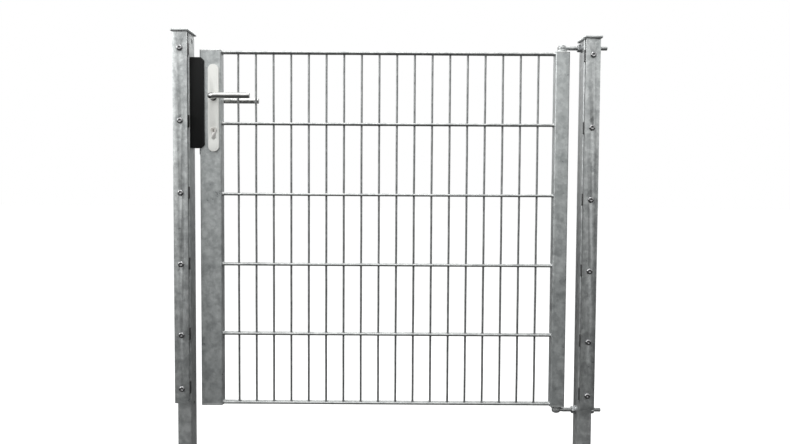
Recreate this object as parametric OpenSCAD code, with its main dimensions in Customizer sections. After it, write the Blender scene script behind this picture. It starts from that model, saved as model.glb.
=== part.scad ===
// Pedestrian gate for double-rod mesh fencing, hung between two posts.
// The frame stands at the foot of the hinge post: +X runs away from the leaf,
// +Y is the side the leaf opens to and +Z is up. Sizes are in millimetres.

/* [Leaf] */
// Width of the leaf over both stiles
leaf_w = 1040; // [700:1:1400]
// Distance between the outer rods of the mat
mat_h = 1000; // [600:200:1800]
// Height of the lowest rod above the foot of the hinge post
leaf_lift = 463; // [200:1:700]
// Depth of both stiles
stile_d = 40; // [40:1:60]
// Width of the lock stile
lock_stile_w = 60; // [60:1:80]
// Width of the hinge stile
hinge_stile_w = 40; // [30:1:60]
// Wall of the stiles
stile_wall = 2.5; // [2:0.5:3]
// Outer corner radius of the stiles
stile_r = 4; // [3.5:0.5:5]
// How far a stile reaches past the outer rods, end plate included
stile_over = 5.5; // [4.5:0.5:20]
// Thickness of the stile end plates
end_plate_t = 4; // [3:0.5:6]

/* [Mesh] */
// Diameter of the upright wires
wire_d = 6; // [5:0.5:8]
// Diameter of the level rods
rod_d = 8; // [6:0.5:10]
// Spacing of the upright wires
wire_pitch = 50; // [40:1:100]
// Spacing of the level rods
rod_pitch = 200; // [100:1:200]
// Least gap between a stile and the first wire
wire_margin = 40; // [20:1:60]
// Gap between crossing wires and rods
weld_gap = 0.05; // [0.02:0.01:0.1]

/* [Posts] */
// Width of a post, across the passage
post_w = 40; // [40:1:60]
// Depth of a post, through the fence
post_d = 60; // [50:1:100]
// How far a post reaches above the leaf
post_over = 31.5; // [28:0.5:100]
// Wall of the posts
post_wall = 2.5; // [2:0.5:4]
// Outer corner radius of the posts
post_r = 4; // [3.5:0.5:6]
// How much higher the strike post stands on sloping ground
strike_rise = 13; // [0:1:40]
// Gap between the hinge stile and its post
hinge_gap = 36; // [24:1:60]
// Gap between the lock stile and its post
lock_gap = 26; // [24:1:30]
// Thickness of the cap plates
cap_t = 6; // [4:0.5:8]
// Overhang of the cap plates on every side
cap_over = 5; // [2:0.5:10]

/* [Cover bars] */
// Thickness of a cover bar
bar_t = 5; // [4:0.5:8]
// Gap between bar and post, where the fence mat is clamped
mat_gap = 22; // [16:0.5:26]
// How far a cover bar reaches below the lowest rod
bar_below = 3; // [0:1:60]
// First bolt below the top of the post
bolt_drop = 46; // [40:1:60]
// Spacing of the bar bolts
bolt_pitch = 200; // [150:1:250]
// Lowest bolt above the end of the bar
bolt_end = 41; // [25:1:60]
// Shank of the bar bolts
bolt_d = 8; // [6:0.5:8]
// Head of the bar bolts
bolt_head_d = 17; // [14:0.5:18]
// Height of the bolt heads
bolt_head_t = 5; // [4:0.5:6]
// How far a bolt reaches into its post
bolt_reach = 18; // [14:1:22]
// How far a spacer block stays back from each edge of its bar
spacer_inset = 0.5; // [0:0.5:6]
// Height of a spacer block
spacer_h = 34; // [24:1:40]

/* [Hinges] */
// Shank of the eyebolts and of the pivot pins
eyebolt_d = 12; // [10:1:14]
// Outside of the eye
eye_d = 25; // [23:1:28]
// Height of the eye
eye_t = 11; // [10:1:16]
// Radial running clearance of the pin in the eye
pin_play = 0.05; // [0.03:0.01:0.1]
// Diameter of the seat on each end of the hinge stile
seat_d = 30; // [26:1:36]
// Thickness of that seat
seat_t = 6; // [4:0.5:10]
// Gap between seat and eye
eye_gap = 0.2; // [0.1:0.1:1]
// Eyebolt thread that stands out past its post
thread_out = 32; // [26:1:60]
// Width of the hinge nuts across their flats
nut_af = 19; // [17:1:21]
// Thickness of the hinge nuts
nut_t = 10; // [8:0.5:12]
// Diameter of the hinge washers
washer_d = 24; // [22:1:28]
// Thickness of the hinge washers
washer_t = 2.5; // [2:0.5:3]

/* [Lock] */
// Height of the top rod above the lever spindle
spindle_drop = 128; // [110:1:300]
// Distance from the inner side of the lock stile to the spindle
axis_inset = 20; // [17:0.5:24]
// Distance from the spindle down to the profile cylinder
lock_centres = 92; // [92:1:98]
// Side of the square spindle
spindle_d = 8; // [8:0.5:9]
// Room between the lock case and the stile around it
case_room = 0.5; // [0.3:0.1:1]
// Wall of the lock case
case_wall = 1.5; // [1:0.5:2]
// Play between the bolts and the case, on each side
case_play = 0.5; // [0.3:0.1:1]
// Case above the latch bolt
case_over = 7; // [5:0.5:12]
// Case below the cylinder
case_down = 39; // [32:1:48]
// Thickness of the forend plate
forend_t = 3; // [2:0.5:3]
// Width of the forend plate
forend_w = 24; // [22:1:28]
// How far the forend plate reaches past the case, at each end
forend_over = 29; // [18:1:40]
// Travel of the latch bolt
latch_throw = 12; // [10:0.5:12]
// Travel of the dead bolt
bolt_throw = 18; // [10:0.5:18]
// Middle of the latch bolt above the spindle
latch_rise = 22; // [18:1:30]
// Height of the latch bolt
latch_h = 34; // [28:1:40]
// Height of the dead bolt
dead_bolt_h = 34; // [24:1:40]
// Thickness of latch bolt and dead bolt
bolt_t = 12; // [10:0.5:16]

/* [Fittings] */
// Width of the escutcheons
plate_w = 30; // [28:1:34]
// How far an escutcheon reaches above the lock case
plate_above = 46; // [22:1:60]
// How far an escutcheon reaches below the lock case
plate_below = 21; // [17:1:40]
// Thickness of the escutcheons
plate_t = 8.5; // [8:0.5:12]
// Screws of the escutcheons, from their ends
plate_inset = 10; // [8:0.5:12]
// Diameter of a lever
lever_d = 16; // [15:0.5:18]
// Length of a lever from its spindle
lever_l = 110; // [90:1:140]
// Distance from the middle of the leaf to the middle of a lever
lever_out = 75; // [65:1:90]
// Radius of the bend of a lever
lever_bend = 14; // [12:0.5:20]

/* [Keep] */
// How far the keep reaches above the spindle
keep_above = 111; // [90:1:130]
// How far the keep reaches below the profile cylinder
keep_below = 50; // [40:1:80]
// Overlap of the stop flange on the lock stile
keep_lap = 13.5; // [8:0.5:20]
// Thickness of the stop flange
flange_t = 5.5; // [4:0.5:8]
// Gap between the stop flange and the closed leaf
stop_gap = 0.5; // [0.3:0.1:1]
// Gap between the keep and the forend plate
keep_gap = 3; // [2:0.5:4]
// Depth of the keep behind the middle of the leaf
keep_back = 14; // [12:1:20]
// Chamfer on the outer corners of the flange
keep_chamfer = 8.5; // [4:0.5:10]
// Room around a bolt in its pocket
pocket_room = 1.5; // [1:0.5:2]

/* [Hidden] */

// Fine enough for smooth rounds, and still a true circle for every bore.
$fn = 48;
slack = 0.05;
cut = 1;

// Places across the gate
hinge_x = -post_w / 2 - hinge_gap - hinge_stile_w / 2;
leaf_right = hinge_x + hinge_stile_w / 2;
leaf_left = leaf_right - leaf_w;
hinge_stile_x = hinge_x;
lock_stile_x = leaf_left + lock_stile_w / 2;
mat_left = leaf_left + lock_stile_w;
mat_right = leaf_right - hinge_stile_w;
strike_face = leaf_left - lock_gap;
strike_x = strike_face - post_w / 2;

// Heights of the leaf
leaf_bottom = leaf_lift - stile_over;
leaf_top = leaf_lift + mat_h + stile_over;
post_h = leaf_top + post_over;
stile_h = leaf_top - leaf_bottom - 2 * end_plate_t;
eye_offset = seat_t + eye_gap + eye_t / 2;
upper_eye_z = leaf_top + eye_offset;
lower_eye_z = leaf_bottom - eye_offset;

// Mat: whole pitches that fit between the stiles and the outer rods
wire_room = mat_right - mat_left - 2 * wire_margin;
wire_steps = floor(wire_room / wire_pitch);
wire_start = (mat_left + mat_right) / 2 - wire_steps * wire_pitch / 2;
rod_steps = floor(mat_h / rod_pitch);
rod_heights = concat([for (i = [0:rod_steps]) i * rod_pitch],
                     rod_steps * rod_pitch < mat_h ? [mat_h] : []);
rod_y = wire_d / 2 + weld_gap + rod_d / 2;

// Cover bars and their bolts
bar_y = -post_d / 2 - mat_gap - bar_t;
bar_lift = leaf_lift - bar_below;
bar_h = post_h - bar_lift;
bolt_len = bar_t + mat_gap + bolt_reach;
last_bolt = bar_lift + bolt_end;
spacer_w = post_w - 2 * spacer_inset;
bolt_steps = floor((post_h - bolt_drop - last_bolt - spacer_h) / bolt_pitch);
bolt_heights = concat([last_bolt], [for (i = [0:bolt_steps]) post_h - bolt_drop - i * bolt_pitch]);
bolt_hole_d = bolt_d + 1;
rivet_d = bolt_d + 3;
rivet_flange_d = bolt_d + 7;
rivet_flange_t = 1.5;
rivet_len = 16;
socket_af = 5;
socket_depth = 3;

// Hinge hardware
eyebolt_hole_d = eyebolt_d + 1;
ring_t = 1.5;
ring_d = eyebolt_d + 8;
pin_tip = 2;
eye_round = 3;
shank_start = max(eye_d, seat_d) / 2 + 2;

// Lock: everything stands around the spindle axis
axis_x = mat_left - axis_inset;
axis_z = leaf_lift + mat_h - spindle_drop;
cyl_z = axis_z - lock_centres;
latch_z = axis_z + latch_rise;
case_bottom = cyl_z - case_down;
case_top = latch_z + latch_h / 2 + case_over;
case_h = case_top - case_bottom;
case_mid = (case_bottom + case_top) / 2;
case_d = lock_stile_w - stile_wall - case_room;
case_in = bolt_t / 2 + case_play;
case_t = 2 * (case_in + case_wall);
forend_x = leaf_left - forend_t;
forend_h = case_h + 2 * forend_over;
forend_screw_span = forend_h - 20;
cover_t = 1.2;
window_room = 0.3;

// Follower and the latch tail that its arm pushes
arm_r = 20;
arm_tip_r = 4;
arm_w = 4;
arm_t = 5;
arm_half_turn = 17.5;
hub_d = 22;
journal_d = 2 * spindle_d;
lug_w = 2.5;
tail_t = 3;
tail_y = -case_in + 0.5;
tail_z = axis_z + 14;
tail_h = 12;
lug_x = axis_x - arm_r * sin(arm_half_turn) + arm_tip_r + 0.3;
latch_back = leaf_left + 10;
spring_d = 7;
spring_wire_d = 1;
spring_z = latch_z + 10;
spring_turns = 7;
boss_x = axis_x - 6;
boss_w = 3;
boss_h = 8;

// Dead bolt
dead_bolt_z = cyl_z + 29;
dead_back = leaf_left + 16;
dead_tail_h = 14;
dead_tail_z = cyl_z + 18;
dead_tail_x = axis_x + 8;

// Profile cylinder
cyl_d = 17;
cyl_web_w = 10;
cyl_drop = 24.5;
cyl_proud = 2.5;
cyl_half = stile_d / 2 + plate_t + cyl_proud;
plug_d = 13;
cam_half = 4.8;
cam_slot = 5.2;
cam_r = 14;
cam_w = 8;
cam_ring_d = 15;
bridge_h = 8;
cyl_screw_z = cyl_z - cyl_drop + bridge_h / 2;
small_screw_d = 5;
small_head_d = 9;
small_head_t = 2.5;
keyway_w = 2;
keyway_h = 8.5;
keyway_len = 24;

// Escutcheons and the screws through both
plate_bottom = case_bottom - plate_below;
plate_top = case_top + plate_above;
plate_h = plate_top - plate_bottom;
plate_mid = (plate_bottom + plate_top) / 2;
plate_screw_heights = [plate_bottom + plate_inset, plate_top - plate_inset];
plate_floor = 2;

// Levers and their bushes
bush_d = lever_d + 4;
bush_t = 4;
lever_start = stile_d / 2 + plate_t - bush_t;
neck_play = 0.08;
spindle_end = 44;
grub_d = 5;
grub_y = spindle_end - 8;
grub_len = 4;

// Keep
keep_bottom = cyl_z - keep_below;
keep_h = axis_z + keep_above - keep_bottom;
keep_face = forend_x - keep_gap;
flange_y = -stile_d / 2 - stop_gap;
keep_screw_inset = 25;
keep_screw_y = -3;
keep_screw_heights = [keep_bottom + keep_screw_inset, keep_bottom + keep_h - keep_screw_inset];
keep_head_d = 14;
keep_head_t = 5;
keep_floor = 9;

// Colours
zinc = "#9aa0a0";
zinc_dark = "#868c8c";
steel = "#c9cccc";
black = "#1d1e1e";
satin = "#dcdcd6";
brassy = "#c8b273";

// ---------- shared shapes ----------

module round_rect(w, d, r) {
    square([w - 2 * r, d], center = true);
    square([w, d - 2 * r], center = true);
    for (sx = [-1, 1], sy = [-1, 1])
        translate([sx * (w / 2 - r), sy * (d / 2 - r)])
            circle(r = r);
}

module tube(w, d, wall, r, h) {
    linear_extrude(height = h)
        difference() {
            round_rect(w, d, r);
            round_rect(w - 2 * wall, d - 2 * wall, r - wall);
        }
}

// A rod or hole along X, starting at the origin
module along_x(d, len) {
    rotate([0, 90, 0])
        cylinder(d = d, h = len);
}

// A rod or hole along Y, starting at the origin
module along_y(d, len) {
    rotate([-90, 0, 0])
        cylinder(d = d, h = len);
}

// A flat plate in the XZ plane with round ends, growing along +Y
module round_end_plate(w, h, t) {
    translate([0, t, 0])
        rotate([90, 0, 0])
            linear_extrude(height = t) {
                square([w, h - w], center = true);
                for (s = [-1, 1])
                    translate([0, s * (h - w) / 2])
                        circle(d = w);
            }
}

// Euro profile outline about the plug axis, growing along +Y
module euro_profile(room, len) {
    translate([0, len, 0])
        rotate([90, 0, 0])
            linear_extrude(height = len) {
                circle(d = cyl_d + 2 * room);
                translate([-cyl_web_w / 2 - room, -cyl_drop + cyl_web_w / 2])
                    square([cyl_web_w + 2 * room, cyl_drop - cyl_web_w / 2]);
                translate([0, -cyl_drop + cyl_web_w / 2])
                    circle(d = cyl_web_w + 2 * room);
            }
}

// Blind rivet nut with its flange on the XY plane and its body along +Z
module rivet_nut() {
    difference() {
        union() {
            translate([0, 0, -rivet_flange_t])
                cylinder(d = rivet_flange_d, h = rivet_flange_t);
            cylinder(d = rivet_d - 2 * slack, h = rivet_len);
        }
        translate([0, 0, -cut - rivet_flange_t])
            cylinder(d = bolt_d + 2 * slack, h = rivet_len + rivet_flange_t + 2 * cut);
    }
}

// Domed socket screw, head under the XY plane and shank along +Z
module button_bolt(head_d, head_t, len) {
    difference() {
        union() {
            rotate([180, 0, 0])
                rotate_extrude()
                    dome_section(head_d, head_t);
            cylinder(d = bolt_d, h = len);
        }
        translate([0, 0, -head_t - cut])
            cylinder(d = socket_af / cos(30), h = socket_depth + cut, $fn = 6);
    }
}

// Half section of a shallow dome: a flat rim, then an arc to the crown
module dome_section(d, t) {
    rim = 1;
    rise = t - rim;
    ball = (d * d / 4 + rise * rise) / (2 * rise);
    intersection() {
        square([d / 2, t]);
        union() {
            square([d / 2, rim]);
            translate([0, t - ball])
                circle(r = ball, $fn = 180);
        }
    }
}

// ---------- posts ----------

// Post with its drilled holes, and as much more foot as it stands higher
module post_tube(foot) {
    difference() {
        translate([0, 0, -foot])
            tube(post_w, post_d, post_wall, post_r, post_h + foot);
        for (z = bolt_heights)
            translate([0, -post_d / 2 - cut, z])
                along_y(rivet_d, post_wall + 2 * cut);
        for (z = [lower_eye_z, upper_eye_z])
            translate([-post_w / 2 - cut, 0, z])
                along_x(eyebolt_hole_d, post_w + 2 * cut);
    }
}

module hinge_post() {
    color(zinc)
        post_tube(0);
}

module strike_post() {
    color(zinc)
        difference() {
            translate([strike_x, 0, strike_rise])
                post_tube(strike_rise);
            for (z = keep_screw_heights)
                translate([strike_face - post_wall - cut, keep_screw_y, z])
                    along_x(rivet_d, post_wall + 2 * cut);
        }
}

module post_cap() {
    front = bar_y - cap_over;
    back = post_d / 2 + cap_over;
    translate([0, (front + back) / 2, post_h])
        linear_extrude(height = cap_t)
            round_rect(post_w + 2 * cap_over, back - front, 3);
}

module hinge_post_cap() {
    color(zinc)
        post_cap();
}

module strike_post_cap() {
    color(zinc)
        translate([strike_x, 0, strike_rise])
            post_cap();
}

// ---------- cover bars ----------

module cover_bar() {
    difference() {
        translate([-post_w / 2, bar_y, bar_lift])
            cube([post_w, bar_t, bar_h]);
        for (z = bolt_heights)
            translate([0, bar_y - cut, z])
                along_y(bolt_hole_d, bar_t + 2 * cut);
    }
}

module hinge_side_cover_bar() {
    color(zinc)
        cover_bar();
}

module strike_side_cover_bar() {
    color(zinc)
        translate([strike_x, 0, strike_rise])
            cover_bar();
}

module spacers() {
    for (z = bolt_heights)
        translate([0, bar_y + bar_t, z])
            difference() {
                translate([-spacer_w / 2, 0, -spacer_h / 2])
                    cube([spacer_w, mat_gap, spacer_h]);
                translate([0, -cut, 0])
                    along_y(bolt_hole_d, mat_gap + 2 * cut);
                translate([0, mat_gap - rivet_flange_t - slack, 0])
                    along_y(rivet_flange_d + 1, rivet_flange_t + slack + cut);
            }
}

module hinge_side_spacers() {
    color(black)
        spacers();
}

module strike_side_spacers() {
    color(black)
        translate([strike_x, 0, strike_rise])
            spacers();
}

// Places a child at every bar bolt of both posts, looking along +Y
module at_bar_bolts(y) {
    for (post = [[0, 0], [strike_x, strike_rise]], z = bolt_heights)
        translate([post[0], y, post[1] + z])
            rotate([-90, 0, 0])
                children();
}

module cover_bar_bolts() {
    color(steel)
        at_bar_bolts(bar_y)
            button_bolt(bolt_head_d, bolt_head_t, bolt_len);
}

module bar_rivet_nuts() {
    color(steel)
        at_bar_bolts(-post_d / 2)
            rivet_nut();
}

// ---------- hinges ----------

// Half section of the eye: a ring with rounded edges
module eye_section() {
    translate([0, -eye_t / 2])
        square([eye_d / 2 - eye_round, eye_t]);
    translate([0, -eye_t / 2 + eye_round])
        square([eye_d / 2, eye_t - 2 * eye_round]);
    for (s = [-1, 1])
        translate([eye_d / 2 - eye_round, s * (eye_t / 2 - eye_round)])
            circle(r = eye_round);
}

module eyebolt(z) {
    shank = -hinge_x + post_w / 2 + thread_out;
    translate([hinge_x, 0, z])
        difference() {
            union() {
                rotate_extrude()
                    eye_section();
                intersection() {
                    along_x(eyebolt_d, shank);
                    translate([0, -eyebolt_d, -eye_t / 2])
                        cube([shank, 2 * eyebolt_d, eye_t]);
                }
                translate([shank_start, 0, 0])
                    along_x(eyebolt_d, shank - shank_start);
            }
            translate([0, 0, -eyebolt_d])
                cylinder(r = eyebolt_d / 2 + pin_play, h = 2 * eyebolt_d);
        }
}

module upper_eyebolt() {
    color(steel)
        eyebolt(upper_eye_z);
}

module lower_eyebolt() {
    color(steel)
        eyebolt(lower_eye_z);
}

// Places a child on each side of the hinge post at both eyebolts, facing outwards
module at_post_faces() {
    for (z = [lower_eye_z, upper_eye_z], s = [0, 1])
        translate([0, 0, z])
            mirror([s, 0, 0])
                translate([post_w / 2, 0, 0])
                    rotate([0, 90, 0])
                        children();
}

module hinge_washers() {
    color(steel)
        at_post_faces()
            difference() {
                cylinder(d = washer_d, h = washer_t);
                translate([0, 0, -cut])
                    cylinder(d = eyebolt_hole_d, h = washer_t + 2 * cut);
            }
}

module hinge_nuts() {
    color(steel)
        at_post_faces()
            translate([0, 0, washer_t])
                difference() {
                    cylinder(d = nut_af / cos(30), h = nut_t, $fn = 6);
                    translate([0, 0, -cut])
                        cylinder(d = eyebolt_d + 2 * slack, h = nut_t + 2 * cut);
                }
}

// ---------- leaf frame ----------

// Places a child at the upper end of the leaf and mirrored at the lower end
module at_leaf_ends(x) {
    mid = (leaf_top + leaf_bottom) / 2;
    for (s = [0, 1])
        translate([x, 0, mid])
            mirror([0, 0, s])
                translate([0, 0, leaf_top - mid])
                    children();
}

module lock_stile() {
    color(zinc)
        difference() {
            translate([lock_stile_x, 0, leaf_bottom + end_plate_t])
                tube(lock_stile_w, stile_d, stile_wall, stile_r, stile_h);
            translate([leaf_left - cut, -case_t / 2 - case_room, case_bottom - case_room])
                cube([stile_wall + 2 * cut, case_t + cover_t + 2 * case_room, case_h + 2 * case_room]);
            translate([axis_x, -stile_d / 2 - cut, axis_z])
                along_y(bush_d + 4, stile_d + 2 * cut);
            translate([axis_x, -stile_d / 2 - cut, cyl_z])
                euro_profile(1.5, stile_d + 2 * cut);
            for (z = plate_screw_heights)
                translate([axis_x, -stile_d / 2 - cut, z])
                    along_y(small_screw_d + 4, stile_d + 2 * cut);
            for (s = [-1, 1])
                translate([leaf_left - cut, 0, case_mid + s * forend_screw_span / 2])
                    along_x(small_screw_d + 2 * slack, stile_wall + 2 * cut);
        }
}

module hinge_stile() {
    color(zinc)
        translate([hinge_stile_x, 0, leaf_bottom + end_plate_t])
            tube(hinge_stile_w, stile_d, stile_wall, stile_r, stile_h);
}

module lock_stile_plates() {
    color(zinc_dark)
        at_leaf_ends(lock_stile_x)
            translate([0, 0, -end_plate_t])
                linear_extrude(height = end_plate_t)
                    round_rect(lock_stile_w, stile_d, stile_r);
}

module hinge_stile_plates() {
    color(zinc_dark)
        at_leaf_ends(hinge_stile_x)
            translate([0, 0, -end_plate_t])
                linear_extrude(height = end_plate_t)
                    round_rect(hinge_stile_w, stile_d, stile_r);
}

module pivot_seats() {
    color(zinc_dark)
        at_leaf_ends(hinge_x)
            difference() {
                cylinder(d = seat_d, h = seat_t);
                translate([0, 0, -cut])
                    cylinder(d = eyebolt_d + 2 * slack, h = seat_t + 2 * cut);
            }
}

module pivot_pins() {
    color(steel)
        at_leaf_ends(hinge_x)
            cylinder(d = eyebolt_d, h = seat_t + 2 * eye_gap + eye_t + ring_t + pin_tip);
}

module pin_rings() {
    color(steel)
        at_leaf_ends(hinge_x)
            translate([0, 0, seat_t + 2 * eye_gap + eye_t])
                difference() {
                    cylinder(d = ring_d, h = ring_t);
                    translate([0, 0, -cut])
                        cylinder(d = eyebolt_d + 2 * slack, h = ring_t + 2 * cut);
                }
}

// ---------- mat ----------

module upright_wires() {
    reach = rod_d / 2 - 1;
    color(zinc)
        for (i = [0:wire_steps])
            translate([wire_start + i * wire_pitch, 0, leaf_lift - reach])
                cylinder(d = wire_d, h = mat_h + 2 * reach);
}

module rods(y) {
    for (z = rod_heights)
        translate([mat_left, y, leaf_lift + z])
            along_x(rod_d, mat_right - mat_left);
}

module front_rods() {
    color(zinc)
        rods(-rod_y);
}

module rear_rods() {
    color(zinc)
        rods(rod_y);
}

// ---------- lock ----------

module lock_case() {
    inner_h = case_h - 2 * case_wall;
    color(zinc_dark)
        difference() {
            union() {
                difference() {
                    translate([leaf_left, -case_t / 2, case_bottom])
                        cube([case_d, case_t, case_h]);
                    translate([leaf_left + case_wall, -case_in, case_bottom + case_wall])
                        cube([case_d - 2 * case_wall, case_t, inner_h]);
                }
                translate([boss_x, -case_in - slack, spring_z - boss_h / 2])
                    cube([boss_w, case_t / 2 + case_in, boss_h]);
            }
            translate([leaf_left - cut, -bolt_t / 2 - window_room,
                       latch_z - latch_h / 2 - window_room])
                cube([case_wall + 2 * cut, bolt_t + 2 * window_room,
                      latch_h + 2 * window_room]);
            translate([leaf_left - cut, -bolt_t / 2 - window_room,
                       dead_bolt_z - dead_bolt_h / 2 - window_room])
                cube([case_wall + 2 * cut, bolt_t + 2 * window_room,
                      dead_bolt_h + 2 * window_room]);
            translate([axis_x, -case_t / 2 - cut, axis_z])
                along_y(journal_d + 2 * slack, case_wall + 2 * cut);
            translate([axis_x, -case_t / 2 - cut, cyl_z])
                euro_profile(window_room, case_wall + 2 * cut);
            translate([leaf_left - cut, 0, cyl_screw_z])
                along_x(small_screw_d + 1, case_wall + 2 * cut);
        }
}

module lock_case_cover() {
    color(zinc_dark)
        difference() {
            translate([leaf_left + case_wall, case_t / 2, case_bottom])
                cube([case_d - case_wall, cover_t, case_h]);
            translate([axis_x, case_t / 2 - cut, axis_z])
                along_y(journal_d + 2 * slack, cover_t + 2 * cut);
            translate([axis_x, case_t / 2 - cut, cyl_z])
                euro_profile(window_room, cover_t + 2 * cut);
        }
}

module forend_plate() {
    color(steel)
        difference() {
            translate([forend_x, -forend_w / 2, case_mid - forend_h / 2])
                cube([forend_t, forend_w, forend_h]);
            translate([forend_x - cut, -bolt_t / 2 - window_room,
                       latch_z - latch_h / 2 - window_room])
                cube([forend_t + 2 * cut, bolt_t + 2 * window_room,
                      latch_h + 2 * window_room]);
            translate([forend_x - cut, -bolt_t / 2 - window_room,
                       dead_bolt_z - dead_bolt_h / 2 - window_room])
                cube([forend_t + 2 * cut, bolt_t + 2 * window_room,
                      dead_bolt_h + 2 * window_room]);
            for (z = [-1, 1] * forend_screw_span / 2)
                translate([forend_x, 0, case_mid + z])
                    screw_sink(slack);
            translate([forend_x, 0, cyl_screw_z])
                screw_sink(slack);
        }
}

// Countersunk hole from a face at the origin, running along +X
module screw_sink(room) {
    translate([-cut, 0, 0])
        along_x(small_head_d + 2 * room, cut);
    rotate([0, 90, 0])
        cylinder(d1 = small_head_d + 2 * room, d2 = small_screw_d + 2 * room, h = small_head_t);
    along_x(small_screw_d + 2 * room, forend_t + cut);
}

// Countersunk screw with its head at the origin, running along +X
module sunk_screw(len) {
    rotate([0, 90, 0])
        cylinder(d1 = small_head_d, d2 = small_screw_d, h = small_head_t);
    along_x(small_screw_d, len);
}

module forend_screws() {
    color(steel)
        for (z = [-1, 1] * forend_screw_span / 2)
            translate([forend_x, 0, case_mid + z])
                sunk_screw(forend_t + stile_wall + 4);
}

module latch_bolt() {
    head = latch_back - forend_x + latch_throw;
    color(steel)
        union() {
            translate([0, 0, latch_z - latch_h / 2])
                linear_extrude(height = latch_h)
                    polygon([[latch_back, -bolt_t / 2],
                             [latch_back - head + latch_throw - 1, -bolt_t / 2],
                             [latch_back - head, bolt_t / 2 - 2],
                             [latch_back - head, bolt_t / 2],
                             [latch_back, bolt_t / 2]]);
            translate([latch_back - cut, tail_y, tail_z])
                cube([lug_x + lug_w - latch_back + cut, tail_t, tail_h]);
            translate([lug_x, tail_y, tail_z])
                cube([lug_w, arm_t / 2 - tail_y, tail_h]);
        }
}

// Closed coil of round wire, swept by rings along the turns
module coil(d, wire, len, turns) {
    steps = 14;
    sides = 8;
    rings = steps * turns;
    mid_r = (d - wire) / 2;
    rise = len - wire;
    pts = [for (i = [0:rings], k = [0:sides - 1])
        let (a = 360 * i / steps, b = 360 * k / sides, r = mid_r + wire / 2 * cos(b))
            [r * cos(a), r * sin(a), wire / 2 + rise * i / rings + wire / 2 * sin(b)]];
    sides_of = [for (i = [0:rings - 1], k = [0:sides - 1])
        let (j = (k + 1) % sides)
            [i * sides + k, i * sides + j, (i + 1) * sides + j, (i + 1) * sides + k]];
    first = [[for (k = [sides - 1:-1:0]) k]];
    last = [[for (k = [0:sides - 1]) rings * sides + k]];
    polyhedron(points = pts, faces = concat(sides_of, first, last));
}

module latch_spring() {
    color(steel)
        translate([latch_back + slack, 1, spring_z])
            rotate([0, 90, 0])
                coil(spring_d, spring_wire_d, boss_x - latch_back - 2 * slack, spring_turns);
}

module dead_bolt() {
    color(steel)
        union() {
            translate([forend_x, -bolt_t / 2, dead_bolt_z - dead_bolt_h / 2])
                cube([dead_back - forend_x, bolt_t, dead_bolt_h]);
            translate([dead_back - cut, -bolt_t / 2 + 1, dead_tail_z])
                cube([dead_tail_x - dead_back + cut, bolt_t - 2, dead_tail_h]);
        }
}

module cylinder_body() {
    color(satin)
        difference() {
            translate([axis_x, -cyl_half, cyl_z])
                euro_profile(0, 2 * cyl_half);
            translate([axis_x, -cyl_half - cut, cyl_z])
                along_y(plug_d + 2 * slack, 2 * cyl_half + 2 * cut);
            translate([axis_x - cyl_d, -cam_slot, cyl_z - cyl_drop + bridge_h])
                cube([2 * cyl_d, 2 * cam_slot, cyl_drop + cyl_d]);
            translate([axis_x - cyl_d, 0, cyl_screw_z])
                along_x(small_screw_d + 2 * slack, 2 * cyl_d);
        }
}

// Plug with a keyway, from its outer face inwards along +Y
module plug() {
    difference() {
        along_y(plug_d, cyl_half - cam_slot);
        translate([-keyway_w / 2, -cut, -plug_d / 2 + 1])
            cube([keyway_w, keyway_len + cut, keyway_h]);
    }
}

module front_plug() {
    color(brassy)
        translate([axis_x, -cyl_half, cyl_z])
            plug();
}

module rear_plug() {
    color(brassy)
        translate([axis_x, cyl_half, cyl_z])
            mirror([0, 1, 0])
                plug();
}

module cylinder_cam() {
    color(steel)
        translate([axis_x, -cam_half, cyl_z]) {
            along_y(cam_ring_d, 2 * cam_half);
            translate([-cam_w / 2, 0, -cam_r + cam_w / 2])
                cube([cam_w, 2 * cam_half, cam_r - cam_w / 2]);
            translate([0, 0, -cam_r + cam_w / 2])
                along_y(cam_w, 2 * cam_half);
        }
}

module cylinder_screw() {
    color(steel)
        translate([forend_x, 0, cyl_screw_z])
            sunk_screw(axis_x - forend_x + cyl_web_w / 2);
}

// ---------- handles and plates ----------

// Escutcheon that lies on the XZ plane and grows along -Y
module escutcheon() {
    difference() {
        translate([0, -plate_t, plate_mid])
            round_end_plate(plate_w, plate_h, plate_t);
        translate([0, -plate_t - cut, axis_z])
            along_y(bush_d + 2 * slack, plate_t + 2 * cut);
        translate([0, -plate_t - cut, cyl_z])
            euro_profile(window_room, plate_t + 2 * cut);
        children();
    }
}

module front_escutcheon() {
    color(satin)
        translate([axis_x, -stile_d / 2, 0])
            escutcheon()
                for (z = plate_screw_heights)
                    translate([0, -plate_t + plate_floor, z])
                        along_y(small_screw_d + 2 * slack, plate_t);
}

module rear_escutcheon() {
    color(satin)
        translate([axis_x, stile_d / 2, 0])
            mirror([0, 1, 0])
                escutcheon()
                    for (z = plate_screw_heights)
                        translate([0, -plate_t, z])
                            rotate([0, 0, 90])
                                plate_sink();
}

// Countersunk hole through an escutcheon, running along +X
module plate_sink() {
    translate([-cut, 0, 0])
        along_x(small_head_d + 2 * slack, cut);
    rotate([0, 90, 0])
        cylinder(d1 = small_head_d + 2 * slack, d2 = small_screw_d + 2 * slack, h = small_head_t);
    along_x(small_screw_d + 2 * slack, plate_t + cut);
}

module escutcheon_screws() {
    color(steel)
        for (z = plate_screw_heights)
            translate([axis_x, stile_d / 2 + plate_t, z])
                rotate([0, 0, -90])
                    sunk_screw(stile_d + 2 * (plate_t - plate_floor));
}

module lever_bushes() {
    color(black)
        for (s = [0, 1])
            mirror([0, s, 0])
                translate([axis_x, -stile_d / 2 - plate_t, axis_z])
                    difference() {
                        along_y(bush_d, bush_t);
                        translate([0, -cut, 0])
                            along_y(lever_d + 2 * neck_play, bush_t + 2 * cut);
                    }
}

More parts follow.
